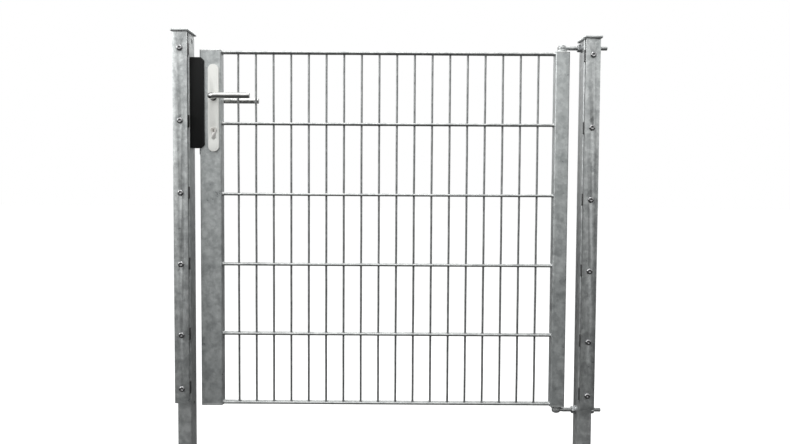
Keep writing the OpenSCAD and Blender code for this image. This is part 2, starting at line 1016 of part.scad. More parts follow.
// Lever on the -Y side: neck, bend and grip, with its square socket
module lever() {
    neck = lever_out - lever_bend - lever_start;
    translate([axis_x, 0, axis_z])
        difference() {
            union() {
                translate([0, -lever_start - neck, 0])
                    along_y(lever_d, neck);
                translate([lever_bend, -lever_out + lever_bend, 0])
                    rotate([0, 0, 180])
                        rotate_extrude(angle = 90)
                            translate([lever_bend, 0])
                                circle(d = lever_d);
                translate([lever_bend, -lever_out, 0])
                    along_x(lever_d, lever_l - lever_bend);
            }
            translate([-spindle_d / 2 - slack, -spindle_end - 1, -spindle_d / 2 - slack])
                cube([spindle_d + 2 * slack, spindle_end, spindle_d + 2 * slack]);
            translate([0, -grub_y, -lever_d])
                cylinder(d = grub_d + 2 * slack, h = lever_d);
        }
}

module front_lever() {
    color(satin)
        lever();
}

module rear_lever() {
    color(satin)
        mirror([0, 1, 0])
            lever();
}

module lever_spindle() {
    color(steel)
        translate([axis_x - spindle_d / 2, -spindle_end, axis_z - spindle_d / 2])
            cube([spindle_d, 2 * spindle_end, spindle_d]);
}

module follower() {
    color(steel)
        translate([axis_x, 0, axis_z])
            difference() {
                union() {
                    translate([0, -case_in + 0.2, 0])
                        along_y(hub_d, 2 * case_in - 0.4);
                    translate([0, -case_t / 2, 0])
                        along_y(journal_d, case_t + cover_t);
                    rotate([0, -arm_half_turn, 0]) {
                        translate([-arm_w / 2, -arm_t / 2, 0])
                            cube([arm_w, arm_t, arm_r]);
                        translate([0, -arm_t / 2, arm_r])
                            along_y(2 * arm_tip_r, arm_t);
                    }
                }
                translate([-spindle_d / 2 - slack, -case_t, -spindle_d / 2 - slack])
                    cube([spindle_d + 2 * slack, 2 * case_t, spindle_d + 2 * slack]);
            }
}

module lever_grub_screws() {
    color(steel)
        for (s = [-1, 1])
            translate([axis_x, s * grub_y, axis_z - spindle_d / 2 - slack - grub_len])
                difference() {
                    cylinder(d = grub_d, h = grub_len);
                    translate([0, 0, -cut])
                        cylinder(d = grub_d / 2, h = 1.5 + cut, $fn = 6);
                }
}

// ---------- keep ----------

module keep() {
    flange_edge = leaf_left + keep_lap;
    body_w = keep_face - strike_face;
    color(black)
        difference() {
            union() {
                translate([strike_face, flange_y, keep_bottom])
                    cube([body_w, keep_back - flange_y, keep_h]);
                translate([0, flange_y, 0])
                    rotate([90, 0, 0])
                        linear_extrude(height = flange_t)
                            polygon([[strike_face, keep_bottom],
                                     [flange_edge - keep_chamfer, keep_bottom],
                                     [flange_edge, keep_bottom + keep_chamfer],
                                     [flange_edge, keep_bottom + keep_h - keep_chamfer],
                                     [flange_edge - keep_chamfer, keep_bottom + keep_h],
                                     [strike_face, keep_bottom + keep_h]]);
            }
            latch_pocket();
            dead_bolt_pocket();
            for (z = keep_screw_heights)
                translate([strike_face, keep_screw_y, z]) {
                    along_x(bolt_hole_d, body_w + cut);
                    translate([-cut, 0, 0])
                        along_x(rivet_flange_d + 1, rivet_flange_t + slack + cut);
                    translate([keep_floor, 0, 0])
                        along_x(keep_head_d + 1, body_w);
                }
        }
}

// The latch pocket is open to the rear, so that the leaf swings out of it
module latch_pocket() {
    deep = keep_gap + latch_throw + pocket_room;
    translate([forend_x - latch_throw - pocket_room, -bolt_t / 2 - pocket_room,
               latch_z - latch_h / 2 - pocket_room])
        cube([deep, bolt_t + keep_back + pocket_room, latch_h + 2 * pocket_room]);
}

module dead_bolt_pocket() {
    reach = keep_gap + bolt_throw;
    translate([forend_x - bolt_throw - pocket_room / 2, -bolt_t / 2 - pocket_room,
               dead_bolt_z - dead_bolt_h / 2 - pocket_room])
        cube([reach, bolt_t + 2 * pocket_room, dead_bolt_h + 2 * pocket_room]);
}

module keep_screws() {
    color(steel)
        for (z = keep_screw_heights)
            translate([strike_face + keep_floor, keep_screw_y, z])
                rotate([0, -90, 0])
                    button_bolt(keep_head_d, keep_head_t, keep_floor + rivet_len);
}

module keep_rivet_nuts() {
    color(steel)
        for (z = keep_screw_heights)
            translate([strike_face, keep_screw_y, z])
                rotate([0, -90, 0])
                    rivet_nut();
}

hinge_post();
strike_post();
hinge_post_cap();
strike_post_cap();
hinge_side_cover_bar();
strike_side_cover_bar();
hinge_side_spacers();
strike_side_spacers();
cover_bar_bolts();
bar_rivet_nuts();
upper_eyebolt();
lower_eyebolt();
hinge_nuts();
hinge_washers();
keep();
keep_screws();
keep_rivet_nuts();
lock_stile();
hinge_stile();
lock_stile_plates();
hinge_stile_plates();
pivot_seats();
pivot_pins();
pin_rings();
upright_wires();
front_rods();
rear_rods();
lock_case();
lock_case_cover();
forend_plate();
forend_screws();
latch_spring();
latch_bolt();
dead_bolt();
cylinder_body();
front_plug();
rear_plug();
cylinder_cam();
cylinder_screw();
front_escutcheon();
rear_escutcheon();
escutcheon_screws();
lever_bushes();
front_lever();
rear_lever();
lever_spindle();
follower();
lever_grub_screws();
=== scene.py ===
import math

import bpy
import bmesh
from mathutils import Matrix, Vector, noise


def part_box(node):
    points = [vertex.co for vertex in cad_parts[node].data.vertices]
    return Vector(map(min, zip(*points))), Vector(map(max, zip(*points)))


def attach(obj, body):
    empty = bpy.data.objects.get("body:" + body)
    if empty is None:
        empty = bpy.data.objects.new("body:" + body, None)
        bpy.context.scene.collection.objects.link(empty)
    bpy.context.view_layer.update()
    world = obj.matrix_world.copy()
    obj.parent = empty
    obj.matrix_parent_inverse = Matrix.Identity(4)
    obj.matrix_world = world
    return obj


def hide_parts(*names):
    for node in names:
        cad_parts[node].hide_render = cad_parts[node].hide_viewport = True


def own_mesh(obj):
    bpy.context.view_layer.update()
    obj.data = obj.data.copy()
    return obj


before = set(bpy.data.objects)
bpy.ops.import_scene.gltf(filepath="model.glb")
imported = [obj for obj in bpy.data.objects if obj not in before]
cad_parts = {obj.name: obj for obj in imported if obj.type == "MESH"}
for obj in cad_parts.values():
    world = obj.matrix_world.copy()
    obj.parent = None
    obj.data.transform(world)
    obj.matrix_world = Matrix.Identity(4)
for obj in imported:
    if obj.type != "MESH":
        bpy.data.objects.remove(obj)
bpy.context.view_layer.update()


# --------------------
# The two posts. Each is a 40 x 60 mm steel tube with drilled bolt holes, hot-dip
# galvanised whole, so the zinc froze in cloudy patches and fine crystals and ran
# down in faint streaks. Both are whole, down to the foot that goes into the ground.
# --------------------

def add(tree, kind, sockets=None, **settings):
    """One node; a socket given another socket is joined to it, else it takes the value."""
    made = tree.nodes.new(kind)
    for name, value in settings.items():
        setattr(made, name, value)
    for name, value in (sockets or {}).items():
        socket = made.inputs[name]
        if isinstance(value, bpy.types.NodeSocket):
            tree.links.new(value, socket)
        else:
            socket.default_value = value
    return made


def new_group(name, inputs, outputs, kind="ShaderNodeTree"):
    """A node group with named sockets: inputs are (name, type, value), outputs (name, type)."""
    tree = bpy.data.node_groups.new(name, kind)
    for label, socket_type, value in inputs:
        socket = tree.interface.new_socket(label, in_out="INPUT", socket_type=socket_type)
        if value is not None:
            socket.default_value = value
    for label, socket_type in outputs:
        tree.interface.new_socket(label, in_out="OUTPUT", socket_type=socket_type)
    return tree, tree.nodes.new("NodeGroupInput").outputs, tree.nodes.new("NodeGroupOutput").inputs


def maths(tree, operation, first, second=0.0, clamp=False):
    return add(tree, "ShaderNodeMath", {0: first, 1: second},
               operation=operation, use_clamp=clamp).outputs[0]


def mix_colour(tree, factor, first, second):
    """From the first colour at factor 0 to the second at 1; a plain colour is three numbers."""
    colours = [(*colour, 1.0) if isinstance(colour, tuple) else colour for colour in (first, second)]
    made = add(tree, "ShaderNodeMix", {0: factor, 6: colours[0], 7: colours[1]}, data_type="RGBA")
    return made.outputs[2]


def spread(tree, value, low, high, out_low=0.0, out_high=1.0):
    """Maps low..high to out_low..out_high, with a smooth start and end."""
    return add(tree, "ShaderNodeMapRange",
               {"Value": value, "From Min": low, "From Max": high, "To Min": out_low, "To Max": out_high},
               interpolation_type="SMOOTHSTEP").outputs["Result"]


def noise_at(tree, where, scale, detail, roughness=0.5, seed=None):
    """Noise in space; with a seed, another cut through the same noise."""
    sockets = {"Vector": where, "Scale": scale, "Detail": detail, "Roughness": roughness}
    if seed is None:
        return add(tree, "ShaderNodeTexNoise", sockets)
    return add(tree, "ShaderNodeTexNoise", {**sockets, "W": seed}, noise_dimensions="4D")


# Zinc as it freezes on steel: clouds, crystals a centimetre across, light flecks, runs and
# a fine grain
zinc_coat, given, put = new_group(
    "zinc_coat",
    [("Place", "NodeSocketVector", None), ("Cloud size", "NodeSocketFloat", 0.03),
     ("Crystal size", "NodeSocketFloat", 0.010), ("Runs", "NodeSocketFloat", 0.3),
     ("Seed", "NodeSocketFloat", 0.0)],
    [("Tone", "NodeSocketFloat"), ("Dullness", "NodeSocketFloat"), ("Relief", "NodeSocketFloat")])
bend = noise_at(zinc_coat, given["Place"], 70.0, 1.0)
bent = add(zinc_coat, "ShaderNodeVectorMath",
           {0: bend.outputs["Color"], 1: (0.006, 0.006, 0.009)}, operation="MULTIPLY")
warped = add(zinc_coat, "ShaderNodeVectorMath", {0: given["Place"], 1: bent.outputs[0]}, operation="ADD")
cloud = noise_at(zinc_coat, warped.outputs[0], maths(zinc_coat, "DIVIDE", 1.0, given["Cloud size"]),
                 6.0, 0.62, given["Seed"])
crystal = add(zinc_coat, "ShaderNodeTexVoronoi",
              {"Vector": warped.outputs[0], "Scale": maths(zinc_coat, "DIVIDE", 1.0, given["Crystal size"]),
               "Randomness": 1.0}, voronoi_dimensions="3D")
crystal_tone = add(zinc_coat, "ShaderNodeSeparateColor", {"Color": crystal.outputs["Color"]}).outputs[0]
frost = noise_at(zinc_coat, warped.outputs[0], maths(zinc_coat, "DIVIDE", 0.8, given["Crystal size"]),
                 2.0, 0.5, given["Seed"])
flecks = maths(zinc_coat, "MULTIPLY", spread(zinc_coat, frost.outputs[0], 0.50, 0.68), 0.34)
long_way = add(zinc_coat, "ShaderNodeMapping", {"Vector": warped.outputs[0], "Scale": (150.0, 150.0, 5.0)})
runs = noise_at(zinc_coat, long_way.outputs[0], 1.0, 3.0, 0.6, given["Seed"])
grain = noise_at(zinc_coat, given["Place"], 900.0, 2.0)
clouds = maths(zinc_coat, "MULTIPLY",
               maths(zinc_coat, "SUBTRACT", spread(zinc_coat, cloud.outputs[0], 0.30, 0.70), 0.5), 0.75)
crystals = maths(zinc_coat, "MULTIPLY", maths(zinc_coat, "SUBTRACT", crystal_tone, 0.5), 0.30)
streaks = maths(zinc_coat, "MULTIPLY", maths(zinc_coat, "SUBTRACT", runs.outputs[0], 0.5), given["Runs"])
speckle = maths(zinc_coat, "MULTIPLY", maths(zinc_coat, "SUBTRACT", grain.outputs[0], 0.5), 0.22)
tone = maths(zinc_coat, "ADD", maths(zinc_coat, "ADD", clouds, crystals),
             maths(zinc_coat, "ADD", streaks, speckle))
ground_tone = maths(zinc_coat, "ADD", tone, 0.5, clamp=True)
zinc_coat.links.new(maths(zinc_coat, "ADD", ground_tone, flecks, clamp=True), put["Tone"])
zinc_coat.links.new(maths(zinc_coat, "ADD", maths(zinc_coat, "MULTIPLY", clouds, 0.5),
                          maths(zinc_coat, "ADD", crystals, 0.5), clamp=True), put["Dullness"])
zinc_coat.links.new(maths(zinc_coat, "ADD", maths(zinc_coat, "MULTIPLY", cloud.outputs[0], 0.7),
                          maths(zinc_coat, "MULTIPLY", grain.outputs[0], 0.3)), put["Relief"])

# Painted shade on metal: darker below, standing in for the dimmer light low down, and pale bloom spots here
# and there
painted_shade_and_bloom, given, put = new_group(
    "painted_shade_and_bloom",
    [("Place", "NodeSocketVector", None), ("Low", "NodeSocketFloat", 0.3),
     ("High", "NodeSocketFloat", 1.5), ("Bloom size", "NodeSocketFloat", 0.02)],
    [("Painted shade", "NodeSocketFloat"), ("Bloom", "NodeSocketFloat")])
height = add(painted_shade_and_bloom, "ShaderNodeSeparateXYZ", {0: given["Place"]}).outputs["Z"]
ragged = noise_at(painted_shade_and_bloom, given["Place"], 9.0, 4.0)
uneven = maths(painted_shade_and_bloom, "ADD", height,
               maths(painted_shade_and_bloom, "MULTIPLY", maths(painted_shade_and_bloom, "SUBTRACT", ragged.outputs[0], 0.5), 0.35))
# painted shade: 1 at 0.3 m and below, fading to 0 at 1.5 m, with a ragged edge
painted_shade = add(painted_shade_and_bloom, "ShaderNodeMapRange",
             {"Value": uneven, "From Min": given["High"], "From Max": given["Low"]},
             interpolation_type="SMOOTHSTEP")
painted_shade_and_bloom.links.new(painted_shade.outputs["Result"], put["Painted shade"])
spots = noise_at(painted_shade_and_bloom, given["Place"], maths(painted_shade_and_bloom, "DIVIDE", 1.0, given["Bloom size"]), 5.0, 0.7)
painted_shade_and_bloom.links.new(spread(painted_shade_and_bloom, spots.outputs[0], 0.60, 0.74), put["Bloom"])

# Edges: the face attribute that a rounded copy carries, broken up so wear isn't a clean line
edge_wear, given, put = new_group(
    "edge_wear",
    [("Place", "NodeSocketVector", None), ("Size", "NodeSocketFloat", 0.004)],
    [("Wear", "NodeSocketFloat")])
edge_mark = add(edge_wear, "ShaderNodeAttribute", attribute_name="edge").outputs["Fac"]
broken = noise_at(edge_wear, given["Place"], maths(edge_wear, "DIVIDE", 1.0, given["Size"]), 3.0)
edge_wear.links.new(maths(edge_wear, "MULTIPLY", edge_mark,
                          spread(edge_wear, broken.outputs[0], 0.3, 0.6, 0.35, 1.0)), put["Wear"])


def new_material(name):
    """A material with its object's own place, the surface shader and a bump for it."""
    material = bpy.data.materials.new(name)
    material.use_nodes = True
    tree = material.node_tree
    tree.nodes.clear()
    shader = tree.nodes.new("ShaderNodeBsdfPrincipled")
    ending = tree.nodes.new("ShaderNodeOutputMaterial")
    tree.links.new(shader.outputs[0], ending.inputs[0])
    place = tree.nodes.new("ShaderNodeTexCoord").outputs["Object"]
    return material, tree, shader, place


def galvanised(name, dark, light, cloud_size, crystal_size, run_strength, seed,
               metal=0.66, smooth=0.25, rough=0.47, relief=0.00035):
    """Hot-dip zinc: patches between two greys, duller where they are pale, darker towards the bottom as
    painted shade, bright worn edges.
    """
    material, tree, shader, place = new_material(name)
    coat = add(tree, "ShaderNodeGroup",
               {"Place": place, "Cloud size": cloud_size, "Crystal size": crystal_size,
                "Runs": run_strength, "Seed": seed}, node_tree=zinc_coat)
    shade_and_bloom_masks = add(tree, "ShaderNodeGroup", {"Place": place}, node_tree=painted_shade_and_bloom)
    wear = add(tree, "ShaderNodeGroup", {"Place": place}, node_tree=edge_wear)
    # the darker grey of the painted shade low down
    shade_colour = tuple(0.62 * part for part in dark)
    bloom = tuple(min(1.0, 1.12 * part) for part in light)
    worn = (0.80, 0.81, 0.81)
    colour = mix_colour(tree, coat.outputs["Tone"], dark, light)
    # painted shade darkens the lower parts; the bloom spots and worn edges are the zinc's own
    for mask, share, over in ((shade_and_bloom_masks.outputs["Painted shade"], 0.45, shade_colour),
                              (shade_and_bloom_masks.outputs["Bloom"], 0.45, bloom),
                              (wear.outputs["Wear"], 0.55, worn)):
        colour = mix_colour(tree, maths(tree, "MULTIPLY", mask, share), colour, over)
    tree.links.new(colour, shader.inputs["Base Color"])
    roughness = spread(tree, coat.outputs["Dullness"], 0.0, 1.0, smooth, rough)
    roughness = maths(tree, "ADD", roughness, maths(tree, "MULTIPLY", shade_and_bloom_masks.outputs["Bloom"], 0.12))
    roughness = maths(tree, "SUBTRACT", roughness, maths(tree, "MULTIPLY", wear.outputs["Wear"], 0.10))
    tree.links.new(roughness, shader.inputs["Roughness"])
    shader.inputs["Metallic"].default_value = metal
    bump = add(tree, "ShaderNodeBump",
               {"Height": coat.outputs["Relief"], "Distance": relief, "Strength": 0.7})
    tree.links.new(bump.outputs[0], shader.inputs["Normal"])
    return material


def dress(material, *names):
    """Gives CAD nodes their finish; their shapes stay as they are."""
    for name in names:
        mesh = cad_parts[name].data
        mesh.materials.clear()
        mesh.materials.append(material)


zinc_post = galvanised("zinc_post", (0.35, 0.365, 0.367), (0.62, 0.64, 0.637),
                       0.024, 0.009, 0.34, seed=1.7)
dress(zinc_post, "hinge_post", "strike_post")


# --------------------
# The two caps. Each is a 6 mm plate laid over post and cover bar and galvanised,
# its edges broken by the zinc. It keeps rain out of the tube.
# --------------------

# A millimetre in the metres of this file
MM = 0.001


def put_in_scene(name, mesh, material):
    """A finished mesh as an object of its own, smooth but for its real corners."""
    mesh.name = name
    mesh.materials.clear()
    mesh.materials.append(material)
    mesh.polygons.foreach_set("use_smooth", [True] * len(mesh.polygons))
    mesh.set_sharp_from_angle(angle=math.radians(38))
    piece = bpy.data.objects.new(name, mesh)
    bpy.context.scene.collection.objects.link(piece)
    return piece


def plain_mesh(piece):
    """The piece's mesh with every modifier applied; the object it came from goes."""
    looked_at = piece.evaluated_get(bpy.context.evaluated_depsgraph_get())
    mesh = bpy.data.meshes.new_from_object(looked_at)
    bpy.data.objects.remove(piece)
    return mesh


def merged_copy(node):
    """A CAD node's mesh with its loose triangles merged and its flat faces made whole."""
    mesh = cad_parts[node].data.copy()
    work = bmesh.new()
    work.from_mesh(mesh)
    bmesh.ops.remove_doubles(work, verts=work.verts, dist=1e-6)
    bmesh.ops.dissolve_limit(work, angle_limit=math.radians(1.0), verts=work.verts, edges=work.edges)
    work.to_mesh(mesh)
    work.free()
    return mesh


def rounded_copy(node, edge, steps=3, corner=30.0):
    """A merged copy with each sharp edge rounded and marked for wear."""
    mesh = merged_copy(node)
    mesh.materials.clear()
    mesh.materials.append(None)
    mesh.materials.append(None)
    for face in mesh.polygons:
        face.material_index = 0
    piece = bpy.data.objects.new(node + "_copy", mesh)
    bpy.context.scene.collection.objects.link(piece)
    bevel = piece.modifiers.new("edges", "BEVEL")
    bevel.width = edge
    bevel.segments = steps
    bevel.limit_method = "ANGLE"
    bevel.angle_limit = math.radians(corner)
    bevel.material = 1
    bevel.use_clamp_overlap = True
    done = plain_mesh(piece)
    marks = done.attributes.new("edge", "FLOAT", "FACE")
    for face in done.polygons:
        marks.data[face.index].value = float(face.material_index)
        face.material_index = 0
    return done


def stands_for(piece, body, slot, *names):
    """The piece rides on its body and hides the CAD nodes; the slot is not used."""
    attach(piece, body)
    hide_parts(*names)


zinc_plate = galvanised("zinc_plate", (0.34, 0.355, 0.355), (0.64, 0.66, 0.655),
                        0.022, 0.009, 0.2, seed=4.1)
for side in ("hinge", "strike"):
    cap = put_in_scene(side + "_post_cap_plate", rounded_copy(side + "_post_cap", 1.1 * MM, 3), zinc_plate)
    stands_for(cap, "posts", "galvanised_plate", side + "_post_cap")


# --------------------
# The two cover bars. Flat 40 x 5 mm bar, sawn to length, drilled and galvanised.
# They clamp the edge of the fence mat against the posts.
# --------------------

zinc_bar = galvanised("zinc_bar", (0.29, 0.305, 0.307), (0.58, 0.60, 0.597),
                      0.022, 0.009, 0.26, seed=7.9)
for side in ("hinge", "strike"):
    bar = put_in_scene(side + "_side_flat_bar", rounded_copy(side + "_side_cover_bar", 0.9 * MM), zinc_bar)
    stands_for(bar, "posts", "galvanised_bar", side + "_side_cover_bar")


# --------------------
# The spacers. Black moulded rubber blocks between bar and post, one at each bolt;
# they hold the gap for the fence mat and show as dark squares from the side.
# --------------------

# A fine grain for whatever is moulded: it only moves tone and relief a little
moulded_grain, given, put = new_group(
    "moulded_grain",
    [("Place", "NodeSocketVector", None), ("Grain size", "NodeSocketFloat", 0.0006),
     ("Dust", "NodeSocketFloat", 0.2)],
    [("Tone", "NodeSocketFloat"), ("Relief", "NodeSocketFloat"), ("Dust", "NodeSocketFloat")])
pits = noise_at(moulded_grain, given["Place"], maths(moulded_grain, "DIVIDE", 1.0, given["Grain size"]), 2.0)
patch = noise_at(moulded_grain, given["Place"], 55.0, 5.0)
moulded_grain.links.new(patch.outputs[0], put["Tone"])
moulded_grain.links.new(pits.outputs[0], put["Relief"])
upward = add(moulded_grain, "ShaderNodeSeparateXYZ",
             {0: add(moulded_grain, "ShaderNodeNewGeometry").outputs["Normal"]}).outputs["Z"]
settled = maths(moulded_grain, "ADD", spread(moulded_grain, upward, 0.2, 1.0),
                maths(moulded_grain, "MULTIPLY", spread(moulded_grain, patch.outputs[0], 0.5, 0.8), 0.5))
moulded_grain.links.new(maths(moulded_grain, "MULTIPLY", settled, given["Dust"], clamp=True), put["Dust"])


def moulded(name, dark, light, dust_colour, rough, grain_size, dust, relief=0.0001):
    """Rubber or plastic from a mould: nearly one colour, with grain and a little dust."""
    material, tree, shader, place = new_material(name)
    surface = add(tree, "ShaderNodeGroup",
                  {"Place": place, "Grain size": grain_size, "Dust": dust}, node_tree=moulded_grain)
    colour = mix_colour(tree, surface.outputs["Tone"], dark, light)
    colour = mix_colour(tree, surface.outputs["Dust"], colour, dust_colour)
    tree.links.new(colour, shader.inputs["Base Color"])
    tree.links.new(spread(tree, surface.outputs["Tone"], 0.3, 0.7, rough - 0.06, rough + 0.06),
                   shader.inputs["Roughness"])
    bump = add(tree, "ShaderNodeBump", {"Height": surface.outputs["Relief"], "Distance": relief,
                                        "Strength": 0.6})
    tree.links.new(bump.outputs[0], shader.inputs["Normal"])
    return material


black_rubber = moulded("black_rubber", (0.012, 0.012, 0.012), (0.028, 0.028, 0.029),
                       (0.10, 0.10, 0.095), 0.72, 0.0008, 0.25)
for side in ("hinge", "strike"):
    blocks = put_in_scene(side + "_side_rubber_blocks",
                          rounded_copy(side + "_side_spacers", 1.2 * MM, 2), black_rubber)
    stands_for(blocks, "posts", "spacer_rubber", side + "_side_spacers")


# --------------------
# The bar bolts. M8 button-head screws in bright stainless steel with a hexagon
# socket, twelve alike, each screwed into a blind rivet nut in the post and left
# at whatever angle it came tight.
# --------------------

def skin(rings, name, loop=False):
    """A closed mesh over rings of points: each ring joins the next, the ends are capped."""
    count = len(rings[0])
    work = bmesh.new()
    made = [[work.verts.new(point) for point in ring] for ring in rings]
    pairs = list(zip(made, made[1:])) + ([(made[-1], made[0])] if loop else [])
    for one, two in pairs:
        for i in range(count):
            j = (i + 1) % count
            work.faces.new((one[i], one[j], two[j], two[i]))
    if not loop:
        work.faces.new(made[0][::-1])
        work.faces.new(made[-1])
    bmesh.ops.remove_doubles(work, verts=work.verts, dist=1e-7)
    bmesh.ops.recalc_face_normals(work, faces=work.faces)
    mesh = bpy.data.meshes.new(name)
    work.to_mesh(mesh)
    work.free()
    return mesh


def circle(radius, z, count):
    return [(radius * math.cos(a), radius * math.sin(a), z)
            for a in (math.tau * i / count for i in range(count))]


def hexagon(across_flats, z, count, radius_limit=1.0):
    """Points round a hexagon, none further out than the limit, so its corners are turned off."""
    ring = []
    for i in range(count):
        turn = math.tau * i / count
        from_flat = (turn % (math.pi / 3)) - math.pi / 6
        reach = min(across_flats / 2 / math.cos(from_flat), radius_limit)
        ring.append((reach * math.cos(turn), reach * math.sin(turn), z))
    return ring


def solids_of(node):
    """Low and high corner of each separate solid of a CAD node."""
    work = bmesh.new()
    work.from_mesh(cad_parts[node].data)
    bmesh.ops.remove_doubles(work, verts=work.verts, dist=1e-6)
    left = set(work.verts)
    found = []
    while left:
        edge_of = [left.pop()]
        points = []
        while edge_of:
            vert = edge_of.pop()
            points.append(vert.co.copy())
            for link in vert.link_edges:
                other = link.other_vert(vert)
                if other in left:
                    left.discard(other)
                    edge_of.append(other)
        low = Vector([min(p[k] for p in points) for k in range(3)])
        high = Vector([max(p[k] for p in points) for k in range(3)])
        found.append((low, high))
    work.free()
    return sorted(found, key=lambda box: (round(box[0].x, 4), round(box[0].z, 4), box[0].y))


# Sets one piece at every point, its +Z the way that the point's facing attribute gives, and
# turned about that by a random angle
set_in_places, given, put = new_group(
    "set_in_places",
    [("Geometry", "NodeSocketGeometry", None), ("Piece", "NodeSocketObject", None),
     ("Largest turn", "NodeSocketFloat", 1.0), ("Turn seed", "NodeSocketInt", 3),
     ("Finish", "NodeSocketMaterial", None)],
    [("Geometry", "NodeSocketGeometry")], kind="GeometryNodeTree")
facing = add(set_in_places, "FunctionNodeAlignRotationToVector",
             {"Vector": add(set_in_places, "GeometryNodeInputNamedAttribute", {"Name": "facing"},
                            data_type="FLOAT_VECTOR").outputs["Attribute"]}, axis="Z")
turn = add(set_in_places, "FunctionNodeRandomValue",
           {"Seed": given["Turn seed"]}, data_type="FLOAT")
set_in_places.links.new(given["Largest turn"], turn.inputs[3])
spin = add(set_in_places, "FunctionNodeAxisAngleToRotation",
           {"Axis": (0.0, 0.0, 1.0), "Angle": turn.outputs[1]})
turned = add(set_in_places, "FunctionNodeRotateRotation",
             {"Rotation": facing.outputs[0], "Rotate By": spin.outputs[0]}, rotation_space="LOCAL")
copies = add(set_in_places, "GeometryNodeInstanceOnPoints",
             {"Points": given["Geometry"], "Rotation": turned.outputs[0],
              "Instance": add(set_in_places, "GeometryNodeObjectInfo", {"Object": given["Piece"]}
                              ).outputs["Geometry"]})
whole = add(set_in_places, "GeometryNodeRealizeInstances", {"Geometry": copies.outputs[0]})
coated = add(set_in_places, "GeometryNodeSetMaterial",
             {"Geometry": whole.outputs[0], "Material": given["Finish"]})
set_in_places.links.new(coated.outputs[0], put["Geometry"])


def set_input(modifier, tree, label, value):
    """A modifier's input is set by its socket's identifier."""
    for item in tree.interface.items_tree:
        if item.item_type == "SOCKET" and item.in_out == "INPUT" and item.name == label:
            modifier[item.identifier] = value
            return
    raise KeyError(label)


def grown(name, tree, start_mesh, values, material):
    """Runs a geometry tree on a mesh and returns the result as a plain piece."""
    seedling = bpy.data.objects.new(name + "_start", start_mesh)
    bpy.context.scene.collection.objects.link(seedling)
    modifier = seedling.modifiers.new("grow", "NODES")
    modifier.node_group = tree
    for label, value in values.items():
        set_input(modifier, tree, label, value)
    set_input(modifier, tree, "Finish", material)
    return put_in_scene(name, plain_mesh(seedling), material)


def copies_of(name, pattern, places, material, largest_turn=0.0, turn_seed=3):
    """Copies of one mesh, each at a (point, direction) with the pattern's +Z along the direction."""
    start = bpy.data.meshes.new(name + "_places")
    start.from_pydata([tuple(point) for point, way in places], [], [])
    facing_of = start.attributes.new("facing", "FLOAT_VECTOR", "POINT")
    for i, (point, way) in enumerate(places):
        facing_of.data[i].vector = way
    master = bpy.data.objects.new(name + "_pattern", pattern)
    bpy.context.scene.collection.objects.link(master)
    done = grown(name, set_in_places, start,
                 {"Piece": master, "Largest turn": largest_turn, "Turn seed": turn_seed}, material)
    bpy.data.objects.remove(master)
    return done


# The way a tool leaves steel: hair-fine lines one way, and softer blotches under them
turned_lines, given, put = new_group(
    "turned_lines",
    [("Place", "NodeSocketVector", None), ("Lines", "NodeSocketVector", (900.0, 900.0, 40.0)),
     ("Blotch size", "NodeSocketFloat", 0.01)],
    [("Lines", "NodeSocketFloat"), ("Blotch", "NodeSocketFloat")])
pulled = add(turned_lines, "ShaderNodeVectorMath", {0: given["Place"], 1: given["Lines"]},
             operation="MULTIPLY")
hair = noise_at(turned_lines, pulled.outputs[0], 1.0, 3.0)
blot = noise_at(turned_lines, given["Place"], maths(turned_lines, "DIVIDE", 1.0, given["Blotch size"]), 4.0)
turned_lines.links.new(hair.outputs[0], put["Lines"])
turned_lines.links.new(blot.outputs[0], put["Blotch"])


def bright_metal(name, dark, light, lines, smooth, rough, blotch_size=0.01, relief=0.00003, metal=1.0):
    """Ground, drawn or plated metal with fine lines and faint stains."""
    material, tree, shader, place = new_material(name)
    surface = add(tree, "ShaderNodeGroup",
                  {"Place": place, "Lines": lines, "Blotch size": blotch_size}, node_tree=turned_lines)
    wear = add(tree, "ShaderNodeGroup", {"Place": place}, node_tree=edge_wear)
    tone = maths(tree, "ADD", maths(tree, "MULTIPLY", surface.outputs["Lines"], 0.5),
                 maths(tree, "MULTIPLY", surface.outputs["Blotch"], 0.5))
    colour = mix_colour(tree, spread(tree, tone, 0.3, 0.7), dark, light)
    worn = (0.88, 0.88, 0.87)
    colour = mix_colour(tree, maths(tree, "MULTIPLY", wear.outputs["Wear"], 0.4), colour, worn)
    tree.links.new(colour, shader.inputs["Base Color"])
    tree.links.new(spread(tree, surface.outputs["Blotch"], 0.3, 0.7, smooth, rough),
                   shader.inputs["Roughness"])
    shader.inputs["Metallic"].default_value = metal
    bump = add(tree, "ShaderNodeBump", {"Height": surface.outputs["Lines"], "Distance": relief,
                                        "Strength": 0.5})
    tree.links.new(bump.outputs[0], shader.inputs["Normal"])
    return material


def button_head(across, tall, socket, socket_depth, shank, shank_length):
    """Domed screw: its seat at the origin, head towards +Z and shank towards -Z."""
    around = 36
    rim = 0.9 * MM
    point = 0.6 * MM
    rings = [circle(shank / 2 - point, -shank_length, around),
             circle(shank / 2, -shank_length + point, around),
             circle(shank / 2, 0.0, around),
             circle(across / 2 - 0.3 * MM, 0.0, around),
             circle(across / 2, 0.3 * MM, around),
             circle(across / 2, rim, around)]
    for step in range(1, 9):
        lift = math.radians(8.0 + 62.0 * step / 8)
        out = across / 2 * (1 - 0.55 * (1 - math.cos(lift * 1.12)))
        rings.append(circle(max(out, socket * 0.72), rim + (tall - rim) * math.sin(lift * 1.28), around))
    rings += [circle(socket * 0.66, tall, around),
              hexagon(socket * 1.08, tall - 0.15 * MM, around),
              hexagon(socket, tall - 0.5 * MM, around),
              hexagon(socket, tall - socket_depth, around),
              circle(socket * 0.2, tall - socket_depth - 0.8 * MM, around)]
    return skin(rings, "button_head")


